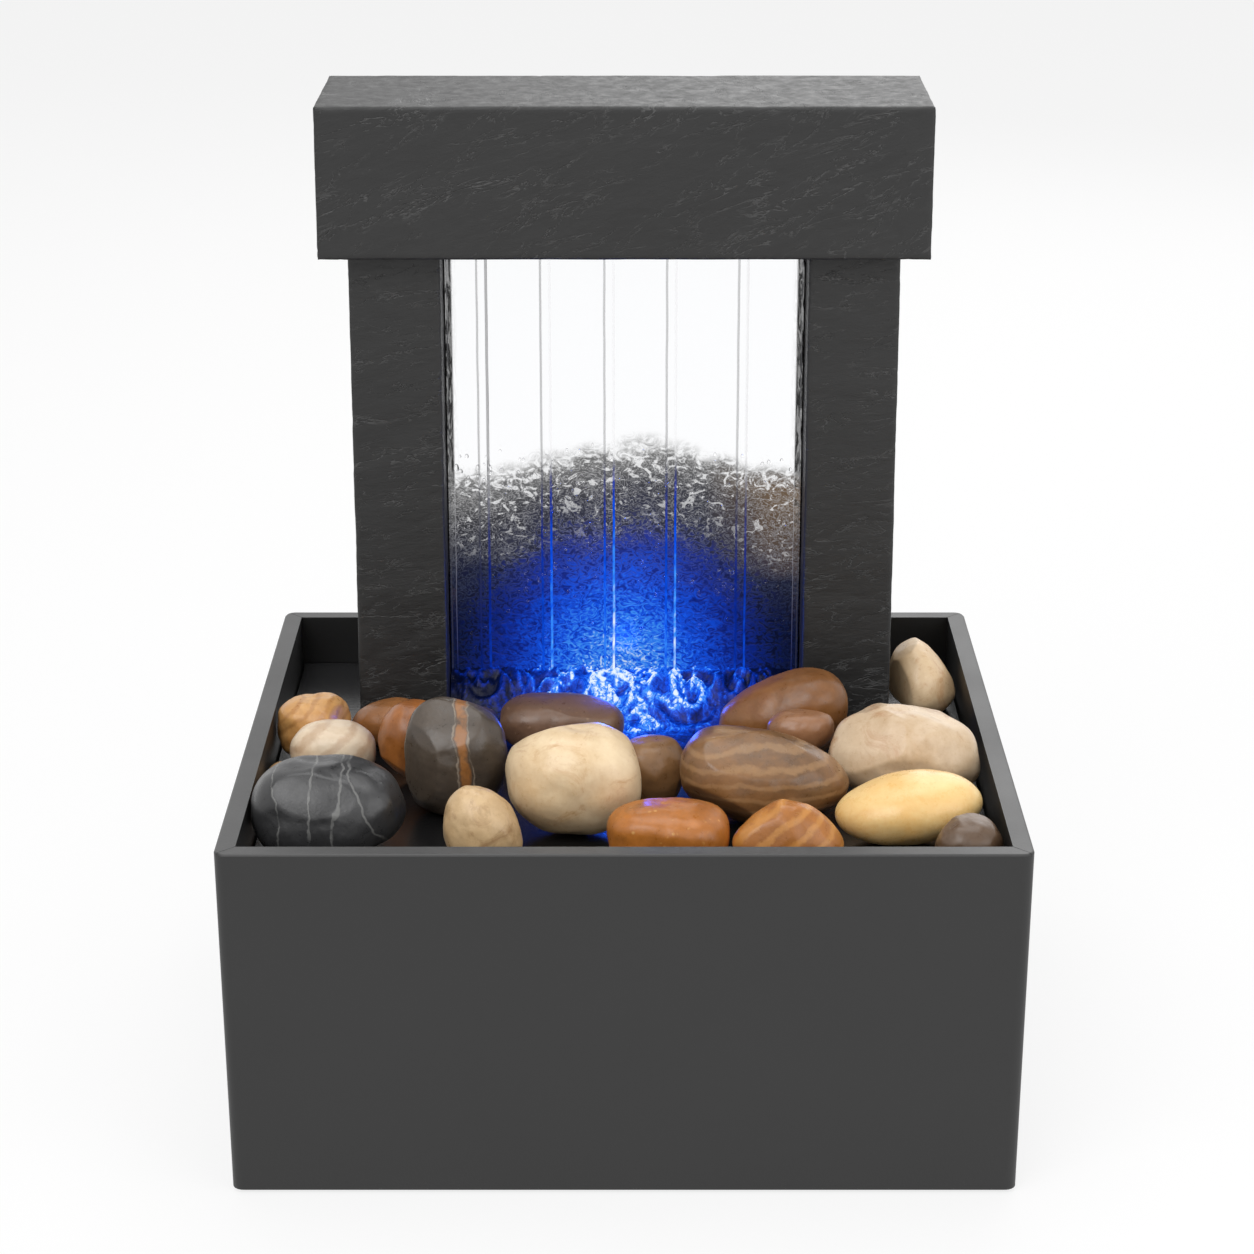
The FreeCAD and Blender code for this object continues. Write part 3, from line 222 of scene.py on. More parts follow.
def basin_resin():
    """Satin charcoal resin, painted darker inside as shade and painted paler on the flat of the rim as
    sheen, with a fine mitre line at each rim corner.
    """
    made, tree, shader = material("basin_resin")
    _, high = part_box("basin")
    fine = grain(tree, spot(tree), 1400, 2)
    broad = grain(tree, spot(tree), 22, 6, 0.62)
    tone = blend_colours(tree, broad, rgb(30, 30, 30), rgb(37, 37, 37))
    x, y, z = parts_of(tree, spot(tree))
    # The flat of the rim is painted paler: a painted sheen of the light from above.
    top = scaled(tree, z, high.z - 0.3 * MM, high.z - 0.1 * MM)
    tone = blend_colours(tree, top, tone, rgb(66, 66, 66))
    side_x = maths(tree, "ABSOLUTE", x)
    side_y = maths(tree, "ABSOLUTE", y)
    wall = 4 * MM
    inside = maths(tree, "MULTIPLY",
                   scaled(tree, side_x, high.x - wall, high.x - wall * 1.2),
                   scaled(tree, side_y, high.y - wall, high.y - wall * 1.2))
    # Painted shade on the basin's inner walls and floor, below the flat of the rim.
    painted_shading = maths(tree, "MULTIPLY", inside, maths(tree, "SUBTRACT", 1.0, top))
    tone = blend_colours(tree, painted_shading, tone, rgb(13, 13, 13))
    inset = maths(tree, "SUBTRACT",
                  maths(tree, "SUBTRACT", high.x, side_x), maths(tree, "SUBTRACT", high.y, side_y))
    wobble = maths(tree, "MULTIPLY", maths(tree, "SUBTRACT", broad, 0.5), 2 * MM)
    mitre = maths(tree, "MULTIPLY",
                  near(tree, maths(tree, "ADD", inset, wobble), 0.0, 0.08 * MM, 0.16 * MM),
                  scaled(tree, z, high.z - 1.2 * MM, high.z - 0.9 * MM))
    tone = blend_colours(tree, mitre, tone, rgb(14, 14, 14))
    tree.links.new(tone, shader.inputs["Base Color"])
    rough = ramp(tree, broad, [(0.3, 0.42), (0.7, 0.52)])
    tree.links.new(rough, shader.inputs["Roughness"])
    height = maths(tree, "SUBTRACT", maths(tree, "MULTIPLY", fine, 0.1), mitre)
    bump(tree, shader, height, 0.3 * MM)
    return made


def assign(obj, made):
    """Gives an object one material and no other."""
    obj.data.materials.clear()
    obj.data.materials.append(made)


# ---------------------------------------------------------------- meshes

def link(name, mesh, made, body=ROOT, where=(0, 0, 0)):
    """A smooth-shaded mesh object of one material that rides on a body."""
    mesh.polygons.foreach_set("use_smooth", [True] * len(mesh.polygons))
    mesh.update()
    obj = bpy.data.objects.new(name, mesh)
    obj.location = where
    bpy.context.scene.collection.objects.link(obj)
    assign(obj, made)
    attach(obj, body)
    return obj


def new_piece(name, verts, faces, made):
    """A piece of the fountain's own body, from points and faces."""
    mesh = bpy.data.meshes.new(name)
    mesh.from_pydata(verts, [], faces)
    mesh.validate()
    return link(name, mesh, made)


def from_bmesh(name, bm, made, body=ROOT, where=(0, 0, 0)):
    """A piece from a bmesh, which is freed."""
    mesh = bpy.data.meshes.new(name)
    bm.to_mesh(mesh)
    bm.free()
    return link(name, mesh, made, body, where)


def slate_height(point, along, across):
    """Relief of a cleft slate face, from 0 in the grooves to 1 on the flats."""
    waves_along, waves_across = 55, 150    # per metre
    flow = Vector((point.dot(along) * waves_along, point.dot(across) * waves_across, 0.7))
    value = 0.5 + 0.5 * noise.fractal(flow, 0.8, 2.1, 5)
    crease = abs(noise.noise(flow * 0.45 + Vector((9.1, 3.3, 1.7))))
    groove = max(0.0, 1 - crease / 0.035)
    return max(0.0, min(1.0, value - 0.5 * groove))


def slate_block(name, node, made, open_below=0.0):
    """Stands for a box-shaped node, its faces cut back by slate relief.

    open_below is the wall of a box that is open underneath.
    """
    low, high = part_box(node)
    pitch, relief = 0.9 * MM, 0.22 * MM
    bm = bmesh.new()
    size = [high[i] - low[i] for i in range(3)]
    counts = [max(2, round(s / pitch)) for s in size]

    def face_grid(axis, sign):
        """One face of the box as a grid of points."""
        u, v = [i for i in range(3) if i != axis]
        rows = []
        for i in range(counts[u] + 1):
            row = []
            for j in range(counts[v] + 1):
                point = Vector((0, 0, 0))
                point[axis] = high[axis] if sign > 0 else low[axis]
                point[u] = low[u] + size[u] * i / counts[u]
                point[v] = low[v] + size[v] * j / counts[v]
                row.append(bm.verts.new(point))
            rows.append(row)
        for i in range(counts[u]):
            for j in range(counts[v]):
                quad = [rows[i][j], rows[i + 1][j], rows[i + 1][j + 1], rows[i][j + 1]]
                flip = (sign > 0) == (axis == 1)
                bm.faces.new(quad[::-1] if flip else quad)

    faces = [(0, -1), (0, 1), (1, -1), (1, 1), (2, 1)]
    if not open_below:
        faces.append((2, -1))
    for axis, sign in faces:
        face_grid(axis, sign)
    bmesh.ops.remove_doubles(bm, verts=bm.verts, dist=pitch * 0.2)
    bm.normal_update()
    centre = Vector([(low[i] + high[i]) / 2 for i in range(3)])
    half = Vector([s / 2 for s in size])
    edge_round, edge_drop = 1.1 * MM, 0.35 * MM
    for vert in bm.verts:
        local = vert.co - centre
        outward = Vector([
            math.copysign(1.0, local[i]) if abs(abs(local[i]) - half[i]) < 1e-6 else 0.0
            for i in range(3)])
        to_edge = sorted(half[i] - abs(local[i]) for i in range(3))[1]
        facing = max(range(3), key=lambda i: abs(outward[i]))
        along = Vector((1, 0.15, 0.35)).normalized() if facing != 0 else Vector((0, 1, 0.35))
        across = Vector((-0.3, 0.95, 1)).normalized()
        depth = relief * (1 - slate_height(vert.co, along, across))
        rounding = max(0.0, 1 - to_edge / edge_round) ** 2 * edge_drop
        if outward.length > 0:
            vert.co -= outward.normalized() * (depth + rounding)
    if open_below:
        hollow(bm, low, high, open_below)
    obj = from_bmesh(name, bm, made, BODY_OF[node])
    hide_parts(node)


def hollow(bm, low, high, wall):
    """Closes an open-bottomed box with an inner box and a lip, so that its wall is solid."""
    rim = [e for e in bm.edges if e.is_boundary]
    inner_low = [low[0] + wall, low[1] + wall, low[2]]
    inner_high = [high[0] - wall, high[1] - wall, high[2] - wall]
    corners = []
    for z in (inner_low[2], inner_high[2]):
        for x, y in ((0, 0), (1, 0), (1, 1), (0, 1)):
            corners.append(bm.verts.new((
                inner_high[0] if x else inner_low[0],
                inner_high[1] if y else inner_low[1], z)))
    mouth = []
    for i in range(4):
        j = (i + 1) % 4
        bm.faces.new([corners[i], corners[j], corners[4 + j], corners[4 + i]])
        mouth.append(bm.edges.get((corners[i], corners[j])))
    bm.faces.new(corners[4:])
    bmesh.ops.bridge_loops(bm, edges=rim + mouth)
    bmesh.ops.recalc_face_normals(bm, faces=bm.faces)


# ---------------------------------------------------------------- tower

def tower():
    """The lintel and the two pillars, in slate relief; each stands for its CAD node."""
    header_wall = 3 * MM
    face, upright = slate("slate_face", math.radians(17)), slate("slate_pillar", math.radians(6))
    slate_block("header_slate", "header_cover", face, open_below=header_wall)
    for node in ("left_pillar", "right_pillar"):
        slate_block(node + "_slate", node, upright)


# ---------------------------------------------------------------- pebbles

def ellipsoid_form(node, centre):
    """The form matrix of a CAD ellipsoid about its centre, from its own vertices."""
    points = np.array([v.co for v in NODES[node].data.vertices], float) - np.array(centre)
    x, y, z = points.T
    terms = np.stack([x * x, y * y, z * z, 2 * x * y, 2 * x * z, 2 * y * z], 1)
    a, b, c, d, e, f = np.linalg.lstsq(terms, np.ones(len(points)), rcond=None)[0]
    return np.array([[a, d, e], [d, b, f], [e, f, c]])


def pebble(node, seed, made, slot, boxy=2.3, lumps=0.06, peak=0.0, lean=0.0, point=0.0, flats=2):
    """A water-worn stone that fills its ellipsoid's box.

    boxy is 2 for an ellipsoid and more for squarer sides; peak narrows the top, lean slides the top
    across, and point narrows the right-hand end.
    """
    low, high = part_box(node)
    centre, half = (low + high) / 2, (high - low) / 2
    form = ellipsoid_form(node, centre)
    rng = np.random.RandomState(seed)
    offset = Vector(rng.uniform(-50, 50, 3))
    planes = [
        (Vector(rng.normal(size=3)).normalized(), rng.uniform(0.78, 0.92)) for _ in range(flats)]
    bm = bmesh.new()
    bmesh.ops.create_icosphere(bm, subdivisions=6, radius=1.0)
    for vert in bm.verts:
        direction = vert.co.normalized()
        d = np.array(direction)
        reach = 1 / math.sqrt(d @ form @ d)
        unit = Vector([direction[i] * reach / half[i] for i in range(3)])
        length = unit.length
        power = sum(abs(u / length) ** boxy for u in unit) ** (-1 / boxy)
        shaped = unit * power
        swell = 1 + lumps * noise.noise(direction * 1.2 + offset)
        swell += lumps * 0.4 * noise.noise(direction * 2.9 + offset)
        swell += lumps * 0.06 * noise.noise(direction * 9 + offset)
        shaped *= swell
        across = 1 - peak * shaped.z
        shaped = Vector((
            shaped.x * across + lean * shaped.z,
            shaped.y * across * (1 - point * shaped.x),
            shaped.z * (1 - point * shaped.x)))
        for normal, cap in planes:
            over = shaped.dot(normal) - cap
            if over > 0:
                shaped -= normal * over * 0.7
        vert.co = shaped
    bmesh.ops.smooth_vert(
        bm, verts=bm.verts, factor=0.5, use_axis_x=True, use_axis_y=True, use_axis_z=True)
    lows = [min(v.co[i] for v in bm.verts) for i in range(3)]
    highs = [max(v.co[i] for v in bm.verts) for i in range(3)]
    for vert in bm.verts:
        vert.co = Vector([
            (2 * (vert.co[i] - lows[i]) / (highs[i] - lows[i]) - 1) * half[i] for i in range(3)])
    obj = from_bmesh(node + "_stone", bm, made, BODY_OF[node], centre)
    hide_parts(node)


def stone(name, dark, pale, stain=None, stain_amount=0.75, rings=None, ring_scale=90,
          ring_turn=(0, 0, 0), threads=(), thread_colour=None, bars=(), bar_colour=None,
          specks=None, shift=0, gloss=0.3):
    """A polished pebble: two ground tones, and where given stains, rings, threads, bars and specks.

    threads and bars are upright marks, each with its place across the stone, its lean and its half
    width, in millimetres.
    """
    made, tree, shader = material(name)
    move = (shift * 1.37, shift * 0.61, shift * 0.29)
    base = spot(tree, shift=move)
    cloud = grain(tree, base, 60, 7, 0.62, 0.5)
    colour = ramp(tree, cloud, [(0.3, dark), (0.7, pale)])
    height = grain(tree, base, 1100, 4)
    if rings:
        wave = add(tree, "TexWave", {
            "Vector": spot(tree, turn=ring_turn, shift=move), "Scale": ring_scale, "Distortion": 5.0,
            "Detail": 5.0, "Detail Scale": 0.8, "Detail Roughness": 0.65}, wave_type="BANDS")
        colour = blend_colours(
            tree, ramp(tree, wave.outputs["Fac"], [(0.55, 0.0), (0.95, 0.6)]), colour, rings)
    if stain:
        patch = grain(tree, base, 85, 9, 0.7, 1.0)
        colour = blend_colours(
            tree, ramp(tree, patch, [(0.54, 0.0), (0.66, stain_amount)]), colour, stain)
    x, _, z = parts_of(tree, spot(tree))
    wobble = maths(tree, "MULTIPLY", maths(tree, "SUBTRACT", grain(tree, base, 130, 3), 0.5), 5 * MM)
    for marks, mark_colour, soft in ((bars, bar_colour, 0.7 * MM), (threads, thread_colour, 0.2 * MM)):
        for place, lean, width in marks:
            line = maths(tree, "ADD", maths(tree, "SUBTRACT", x, place * MM), wobble)
            line = maths(tree, "SUBTRACT", line, maths(tree, "MULTIPLY", z, lean))
            mark = near(tree, line, 0.0, width * MM, soft)
            faded = maths(tree, "MULTIPLY", mark, scaled(tree, grain(tree, base, 210, 4), 0.3, 0.5))
            colour = blend_colours(tree, faded, colour, mark_colour)
            height = maths(tree, "ADD", height, maths(tree, "MULTIPLY", faded, 0.5))
    if specks:
        cells = add(tree, "TexVoronoi", {"Vector": base, "Scale": 520.0})
        dot = ramp(tree, cells.outputs["Distance"], [(0.12, 0.8), (0.28, 0.0)])
        some = scaled(tree, grain(tree, base, 260, 2), 0.5, 0.6)
        colour = blend_colours(tree, maths(tree, "MULTIPLY", dot, some), colour, specks)
    fine = grain(tree, base, 420, 6, 0.72)
    colour = blend_colours(tree, 0.3, colour, ramp(tree, fine, [(0.3, dark), (0.7, pale)]))
    tree.links.new(colour, shader.inputs["Base Color"])
    tree.links.new(
        ramp(tree, fine, [(0.3, gloss - 0.06), (0.7, gloss + 0.12)]), shader.inputs["Roughness"])
    bump(tree, shader, height, 0.05 * MM)
    return made


def stones():
    """Each pebble with its own tones, markings and shape."""
    upright = (0, 0, 0)
    level = (0, math.radians(90), 0)
    slanted = (0, math.radians(50), 0)
    rows = [
        ("charcoal", "stone_charcoal", dict(
            dark=rgb(40, 40, 41), pale=rgb(62, 62, 63), thread_colour=rgb(118, 118, 116),
            threads=((-3.9, 0.08, 0.18), (2.6, 0.14, 0.22), (11.5, -0.5, 0.2), (-12, -0.1, 0.12)),
            shift=1), dict(boxy=2.6, lumps=0.08, point=0.1, peak=0.06)),
        ("small_tan", "stone_tan", dict(dark=rgb(150, 108, 66), pale=rgb(196, 160, 116), shift=2),
         dict()),
        ("orange_rear", "stone_tan", dict(
            dark=rgb(186, 130, 72), pale=rgb(224, 174, 108), rings=rgb(158, 102, 52),
            ring_turn=slanted, ring_scale=110, stain=rgb(160, 104, 54), stain_amount=0.4, shift=3),
         dict(boxy=2.6, lumps=0.1)),
        ("brown_left", "stone_brown", dict(
            dark=rgb(116, 74, 38), pale=rgb(158, 104, 56), shift=4), dict(point=-0.3)),
        ("orange_brown", "stone_orange", dict(
            dark=rgb(132, 78, 34), pale=rgb(190, 118, 56), rings=rgb(110, 64, 30),
            ring_turn=upright, ring_scale=40, shift=5), dict(boxy=2.2)),
        ("banded", "stone_brown", dict(
            dark=rgb(56, 49, 43), pale=rgb(92, 80, 68), bars=((2.4, -0.05, 1.1),),
            bar_colour=rgb(168, 108, 48), threads=((0.4, -0.05, 0.1), (4.6, -0.1, 0.1)),
            thread_colour=rgb(150, 136, 120), shift=6),
         dict(boxy=2.4, point=0.16, lumps=0.08)),
        ("tan_triangle", "stone_tan", dict(
            dark=rgb(178, 142, 98), pale=rgb(222, 192, 148), stain=rgb(140, 96, 56), shift=7),
         dict(boxy=2.3, peak=0.2, lean=-0.22, lumps=0.08)),
        ("mauve_flat", "stone_mauve", dict(
            dark=rgb(92, 68, 54), pale=rgb(134, 102, 80), specks=rgb(160, 130, 106), shift=8),
         dict(boxy=2.6)),
        ("small_mauve", "stone_mauve", dict(dark=rgb(60, 50, 50), pale=rgb(92, 76, 70), shift=9),
         dict()),
        ("cream_round", "stone_cream", dict(
            dark=rgb(214, 180, 134), pale=rgb(242, 220, 184), stain=rgb(182, 126, 62), shift=10),
         dict(boxy=2.3, lumps=0.07)),
        ("tan_round", "stone_tan", dict(
            dark=rgb(110, 78, 48), pale=rgb(160, 120, 78), shift=11), dict()),
        ("speckled", "stone_orange", dict(
            dark=rgb(136, 78, 28), pale=rgb(196, 122, 50), specks=rgb(226, 178, 106),
            stain=rgb(96, 58, 26), stain_amount=0.5, shift=12), dict(boxy=2.9, lumps=0.08)),
        ("brown_large", "stone_brown", dict(
            dark=rgb(84, 62, 42), pale=rgb(146, 104, 62), rings=rgb(176, 138, 96),
            ring_turn=level, ring_scale=85, shift=13),
         dict(boxy=2.3, point=0.2, lean=-0.14, peak=0.06)),
        ("brown_rear", "stone_brown", dict(
            dark=rgb(104, 66, 34), pale=rgb(156, 104, 56), stain=rgb(120, 62, 28),
            stain_amount=0.4, shift=14), dict(boxy=2.2, point=-0.22)),
        ("pyramid", "stone_orange", dict(
            dark=rgb(138, 82, 30), pale=rgb(192, 122, 52), rings=rgb(222, 160, 84),
            ring_turn=slanted, ring_scale=70, shift=15), dict(boxy=2.1, peak=0.34, lumps=0.08)),
        ("mottled", "stone_cream", dict(
            dark=rgb(190, 158, 120), pale=rgb(228, 206, 176), stain=rgb(168, 112, 60), shift=16),
         dict(boxy=2.4, point=-0.06, lean=-0.08, lumps=0.12)),
        ("dark_brown", "stone_brown", dict(dark=rgb(78, 58, 42), pale=rgb(112, 88, 66), shift=17),
         dict()),
        ("pale_yellow", "stone_yellow", dict(
            dark=rgb(236, 184, 106), pale=rgb(250, 222, 160), stain=rgb(214, 146, 70),
            stain_amount=0.35, shift=18, gloss=0.27), dict(boxy=1.92, lumps=0.03, flats=0)),
        ("pink_small", "stone_mauve", dict(
            dark=rgb(124, 82, 54), pale=rgb(168, 122, 86), shift=19), dict(point=-0.1)),
        ("cream_veined", "stone_cream", dict(
            dark=rgb(214, 186, 152), pale=rgb(240, 224, 200), rings=rgb(172, 130, 92),
            ring_turn=slanted, ring_scale=60, shift=20), dict(boxy=2.4)),
        ("cream_rear", "stone_cream", dict(
            dark=rgb(214, 176, 130), pale=rgb(240, 214, 176), stain=rgb(190, 124, 66), shift=21),
         dict(boxy=2.2, peak=0.36, lean=-0.3)),
        ("submerged", "stone_mauve", dict(dark=rgb(86, 66, 72), pale=rgb(128, 100, 98), shift=22),
         dict()),
    ]
    for seed, (label, slot, look, shape) in enumerate(rows, start=11):
        made = stone("stone_" + label, **look)
        pebble("pebble_" + label, seed, made, slot, **shape)


# ---------------------------------------------------------------- water

def blues(tree, level):
    """The light's blue, from unlit through deep and bright blue to nearly white."""
    return ramp(tree, level, [
        (0.0, (0, 0, 0, 1)),
        (0.16, rgb(5, 14, 52)),
        (0.36, rgb(6, 40, 150)),
        (0.58, rgb(14, 84, 236)),
        (0.78, rgb(62, 150, 255)),
        (1.0, rgb(232, 244, 255)),
    ])


def attribute(tree, name):
    """A named number that store() wrote on the mesh."""
    return add(tree, "Attribute", attribute_name=name).outputs["Fac"]


def store(piece, **layers):
    """Writes named numbers on a mesh's points."""
    for name, values in layers.items():
        layer = piece.data.attributes.new(name, "FLOAT", "POINT")
        layer.data.foreach_set("value", np.array(values, np.float32))


def grid_faces(across, up):
    """The quads of a grid of across by up cells, whose points run across first."""
    return [
        (j * (across + 1) + i, j * (across + 1) + i + 1,
         (j + 1) * (across + 1) + i + 1, (j + 1) * (across + 1) + i)
        for j in range(up) for i in range(across)]


def panel_front():
    """The outline of the panel's ribbed front, as points from left to right, from its CAD mesh."""
    low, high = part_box("waterfall_panel")
    middle = (low.y + high.y) / 2
    points = {
        (round(v.co.x, 6), round(v.co.y, 6)) for v in NODES["waterfall_panel"].data.vertices
        if v.co.z < low.z + 1e-5 and v.co.y < middle + (high.y - low.y) / 4}
    return sorted(points)


def opening(gap):
    """Where the space between the pillars starts and ends in X, less a gap at each side."""
    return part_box("left_pillar")[1].x + gap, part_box("right_pillar")[0].x - gap


WATER_IOR = 1.33
# Water stops this far short of the pillars.
SIDE_GAP = 0.3 * MM
# How far the falling water heaps up against the foot of the panel, and how far forward it spreads.
HEAP_HEIGHT = 13 * MM
HEAP_REACH = 17 * MM


def lit_water():
    """Dark, glossy water whose blue glow follows its glow attribute."""
    made, tree, shader = material("lit_water")
    value = attribute(tree, "glow")
    streak = grain(tree, spot(tree), 420, 6, 0.66, 2.2)
    value = maths(tree, "MULTIPLY", value, ramp(tree, streak, [(0.3, 0.55), (0.7, 1.4)]))
    tree.links.new(blues(tree, value), shader.inputs["Emission Color"])
    shader.inputs["Emission Strength"].default_value = 1.0
    shader.inputs["Base Color"].default_value = rgb(3, 4, 8)
    shader.inputs["IOR"].default_value = WATER_IOR
    shader.inputs["Specular IOR Level"].default_value = 0.2
    tree.links.new(ramp(tree, streak, [(0.3, 0.04), (0.7, 0.12)]), shader.inputs["Roughness"])
    bump(tree, shader, grain(tree, spot(tree), 700, 4, 0.6, 1.2), 0.15 * MM)
    return made


def pool():
    """The water over the deck: level in front, heaped and boiling where the sheet of water lands."""
    foot = panel_front()[0][1]
    depth, reach, clearance = 1.4 * MM, 24 * MM, 0.25 * MM
    level = DECK_TOP + depth
    pitch = 0.55 * MM
    x0, x1 = opening(SIDE_GAP)
    y0, y1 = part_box("left_pillar")[0].y - reach, foot - clearance
    across, deep = round((x1 - x0) / pitch), round((y1 - y0) / pitch)
    rng = np.random.RandomState(8)
    # Each boil's place along the panel, distance from it, radius and height, in millimetres.
    boils = [(-38, 5, 5.5, 1.8), (-22, 8, 6, 1.5), (-5, 7, 9, 2.2), (19, 7, 8, 2.0), (6, 14, 5, 1.2),
             (33, 5, 5, 1.4), (-30, 14, 5, 1.0)]
    boils = [(x * MM, foot - y * MM, r * MM, h * MM, rng.uniform(0, 6.3)) for x, y, r, h in boils]
    verts, glow = [], []
    for j in range(deep + 1):
        for i in range(across + 1):
            x, y = x0 + (x1 - x0) * i / across, y0 + (y1 - y0) * j / deep
            climb = max(0.0, min(1.0, 1 - (foot - y) / HEAP_REACH))
            climb = climb * climb * (3 - 2 * climb)
            bend = Vector((noise.noise(Vector((x * 90, y * 90, 1))),
                           noise.noise(Vector((x * 90, y * 90, 7))), 0)) * 4 * MM
            chop = noise.fractal(Vector(((x + bend.x) * 260, (y + bend.y) * 300, 2.1)), 0.8, 2.1, 4)
            ridge = 1 - abs(noise.noise(Vector(((x + bend.x) * 330, (y + bend.y) * 420, 5.7)))) * 2.4
            rise = HEAP_HEIGHT * climb + (0.15 + 0.85 * climb) * 1.1 * MM * chop
            crest = max(0.0, ridge) ** 3 * (0.25 + 0.75 * climb)
            for bx, by, radius, tall, phase in boils:
                r = math.hypot(x + bend.x * 0.4 - bx, (y + bend.y * 0.4 - by) * 1.3)
                if r < radius * 2:
                    fade = math.exp(-(r / radius) ** 2)
                    ring = math.cos(r / radius * 9 + phase + math.atan2(y - by, x - bx))
                    rise += tall * fade * (0.4 + 0.6 * ring)
                    crest = max(crest, fade * max(0.0, ring) ** 4)
            rise += crest * 0.7 * MM
            fade_in = min(1.0, (y - y0) / (5 * MM))
            verts.append((x, y, level + max(-0.8 * MM, rise) * fade_in))
            spread = math.hypot((x - 1 * MM) / (30 * MM), (foot - y - 6 * MM) / (26 * MM))
            lit = math.exp(-spread ** 2)
            shine = min(1.0, lit * (0.56 + 0.3 * chop + 0.8 * crest) + 0.16 * crest + 0.02)
            glow.append(shine * min(1.0, (y - y0) / (14 * MM)) ** 2)
    made = lit_water()
    piece = new_piece("pool_water", verts, grid_faces(across, deep), made)
    store(piece, glow=glow)


def film_water():
    """Water that is clear where its painted shade is 0, and painted grey to black, crinkled and lit blue
    as the painted shade grows to 1.
    """
    made, tree, shader = material("water_film")
    depth, value, side = (attribute(tree, name) for name in ("murk", "glow", "edge"))
    crinkle = grain(tree, spot(tree, stretch=(1.5, 1, 1)), 520, 4, 0.55, 2.6)
    ridge = maths(tree, "ABSOLUTE", maths(tree, "SUBTRACT", crinkle, 0.5))
    thread = scaled(tree, ridge, 0.045, 0.0)
    # The ground is painted shade: mid grey where it begins and near black where it is full.
    ground = ramp(tree, depth, [
        (0.0, rgb(200, 200, 200)), (0.12, rgb(120, 120, 120)), (0.32, rgb(64, 64, 66)),
        (0.7, rgb(24, 25, 30)), (1.0, rgb(8, 9, 12))])
    # The pale threads on the crinkles' ridges are painted highlights, dimmer and bluer where the painted
    # shade is deep.
    pale = ramp(tree, depth, [
        (0.0, rgb(250, 250, 250)), (0.3, rgb(190, 190, 192)), (0.7, rgb(70, 78, 96)),
        (1.0, rgb(20, 34, 70))])
    x = parts_of(tree, spot(tree))[0]
    warm = maths(tree, "MULTIPLY", scaled(tree, x, 22 * MM, 40 * MM),
                 ramp(tree, depth, [(0.05, 0.0), (0.2, 0.8), (0.7, 0.0)]))
    ground = blend_colours(tree, warm, ground, rgb(116, 92, 66))
    painted_shading = blend_colours(tree, maths(tree, "MULTIPLY", thread, 0.7), ground, pale)
    light = maths(tree, "MULTIPLY", value, ramp(tree, crinkle, [(0.34, 0.72), (0.64, 1.3)]))
    light = maths(tree, "MULTIPLY", light, scaled(tree, depth, 0.1, 0.7))
    glowing = blend_colours(tree, 1.0, painted_shading, blues(tree, light), mode="ADD")
    # The film shows its colour by emission: its painted shade and painted highlights as well as the blue
    # light.
    shown = add(tree, "Emission", {"Color": glowing, "Strength": 0.85})
    shader.inputs["Base Color"].default_value = (0, 0, 0, 1)
    shader.inputs["IOR"].default_value = WATER_IOR
    shader.inputs["Specular IOR Level"].default_value = 0.25
    tree.links.new(ramp(tree, crinkle, [(0.3, 0.04), (0.7, 0.12)]), shader.inputs["Roughness"])
    bump(tree, shader, crinkle, 0.25 * MM)
    body = add(tree, "AddShader", {0: shown.outputs[0], 1: shader.outputs["BSDF"]})
    clear_part = add(tree, "BsdfTransparent", {"Color": (0.985, 0.99, 1, 1)})
    patchy = ramp(tree, grain(tree, spot(tree, stretch=(1.4, 1, 1)), 330, 4, 0.6, 1.8),
                  [(0.40, 1.5), (0.58, 12.0)])
    cover = maths(tree, "MULTIPLY", depth, patchy, clamp=True)
    # At the panel's sides the film shows in streaks: water running down the edges, in the film's painted
    # light and shade.
    streaks = grain(tree, spot(tree, stretch=(1, 1, 7)), 900, 4, 0.6, 1.5)
    rill = maths(tree, "MULTIPLY", side, scaled(tree, streaks, 0.46, 0.56))
    cover = maths(tree, "MAXIMUM", cover, maths(tree, "MULTIPLY", rill, 0.6))
    through(tree, cover, clear_part.outputs[0], body.outputs[0])
    return made


def film():
    """The sheet of water on the panel's ribbed face: clear above, and painted dark as shade and lit blue
    below.
    """
    front = panel_front()
    xs, ys = [p[0] for p in front], [p[1] for p in front]
    x0, x1 = opening(SIDE_GAP)
    # It starts inside the heap at its foot and ends behind the lintel.
    lap = 6 * MM
    z0, z1 = DECK_TOP + lap, LINTEL_BOTTOM + lap
    pitch_x, pitch_z = 0.4 * MM, 0.8 * MM
    across, up = round((x1 - x0) / pitch_x), round((z1 - z0) / pitch_z)
    middle = (z0 + z1) / 2
    verts, glow, murk, edge = [], [], [], []
    for k in range(up + 1):
        for i in range(across + 1):
            x, z = x0 + (x1 - x0) * i / across, z0 + (z1 - z0) * k / up
            wave = noise.noise(Vector((x * 300, 0.5, z * 110)))
            bead = noise.fractal(Vector((x * 620, 4.5, z * 480)), 0.9, 2.0, 2)
            thick = (0.30 + 0.10 * wave + 0.14 * max(0.0, bead)) * MM
            verts.append((x, float(np.interp(x, xs, ys)) - thick, z))
            # Painted shade starts below a wobbling line that stands highest in the middle, and deepens
            # downwards.
            top = middle + 6 * MM - (x / (48 * MM)) ** 2 * 9 * MM
            wobble = noise.fractal(Vector((x * 45, 8.1, z * 45)), 0.8, 2.0, 3) * 5 * MM
            murk.append(max(0.0, min(1.0, (top + wobble - z) / (44 * MM))))
            spread = math.hypot((x + 1 * MM) / (36 * MM), (z - z0 - 4 * MM) / (48 * MM))
            glow.append(0.74 * math.exp(-spread ** 2))
            edge.append(max(0.0, 1 - min(x - x0, x1 - x) / (3.2 * MM)))
    made = film_water()
    piece = new_piece("panel_water_film", verts, grid_faces(across, up), made)
    store(piece, glow=glow, murk=murk, edge=edge)


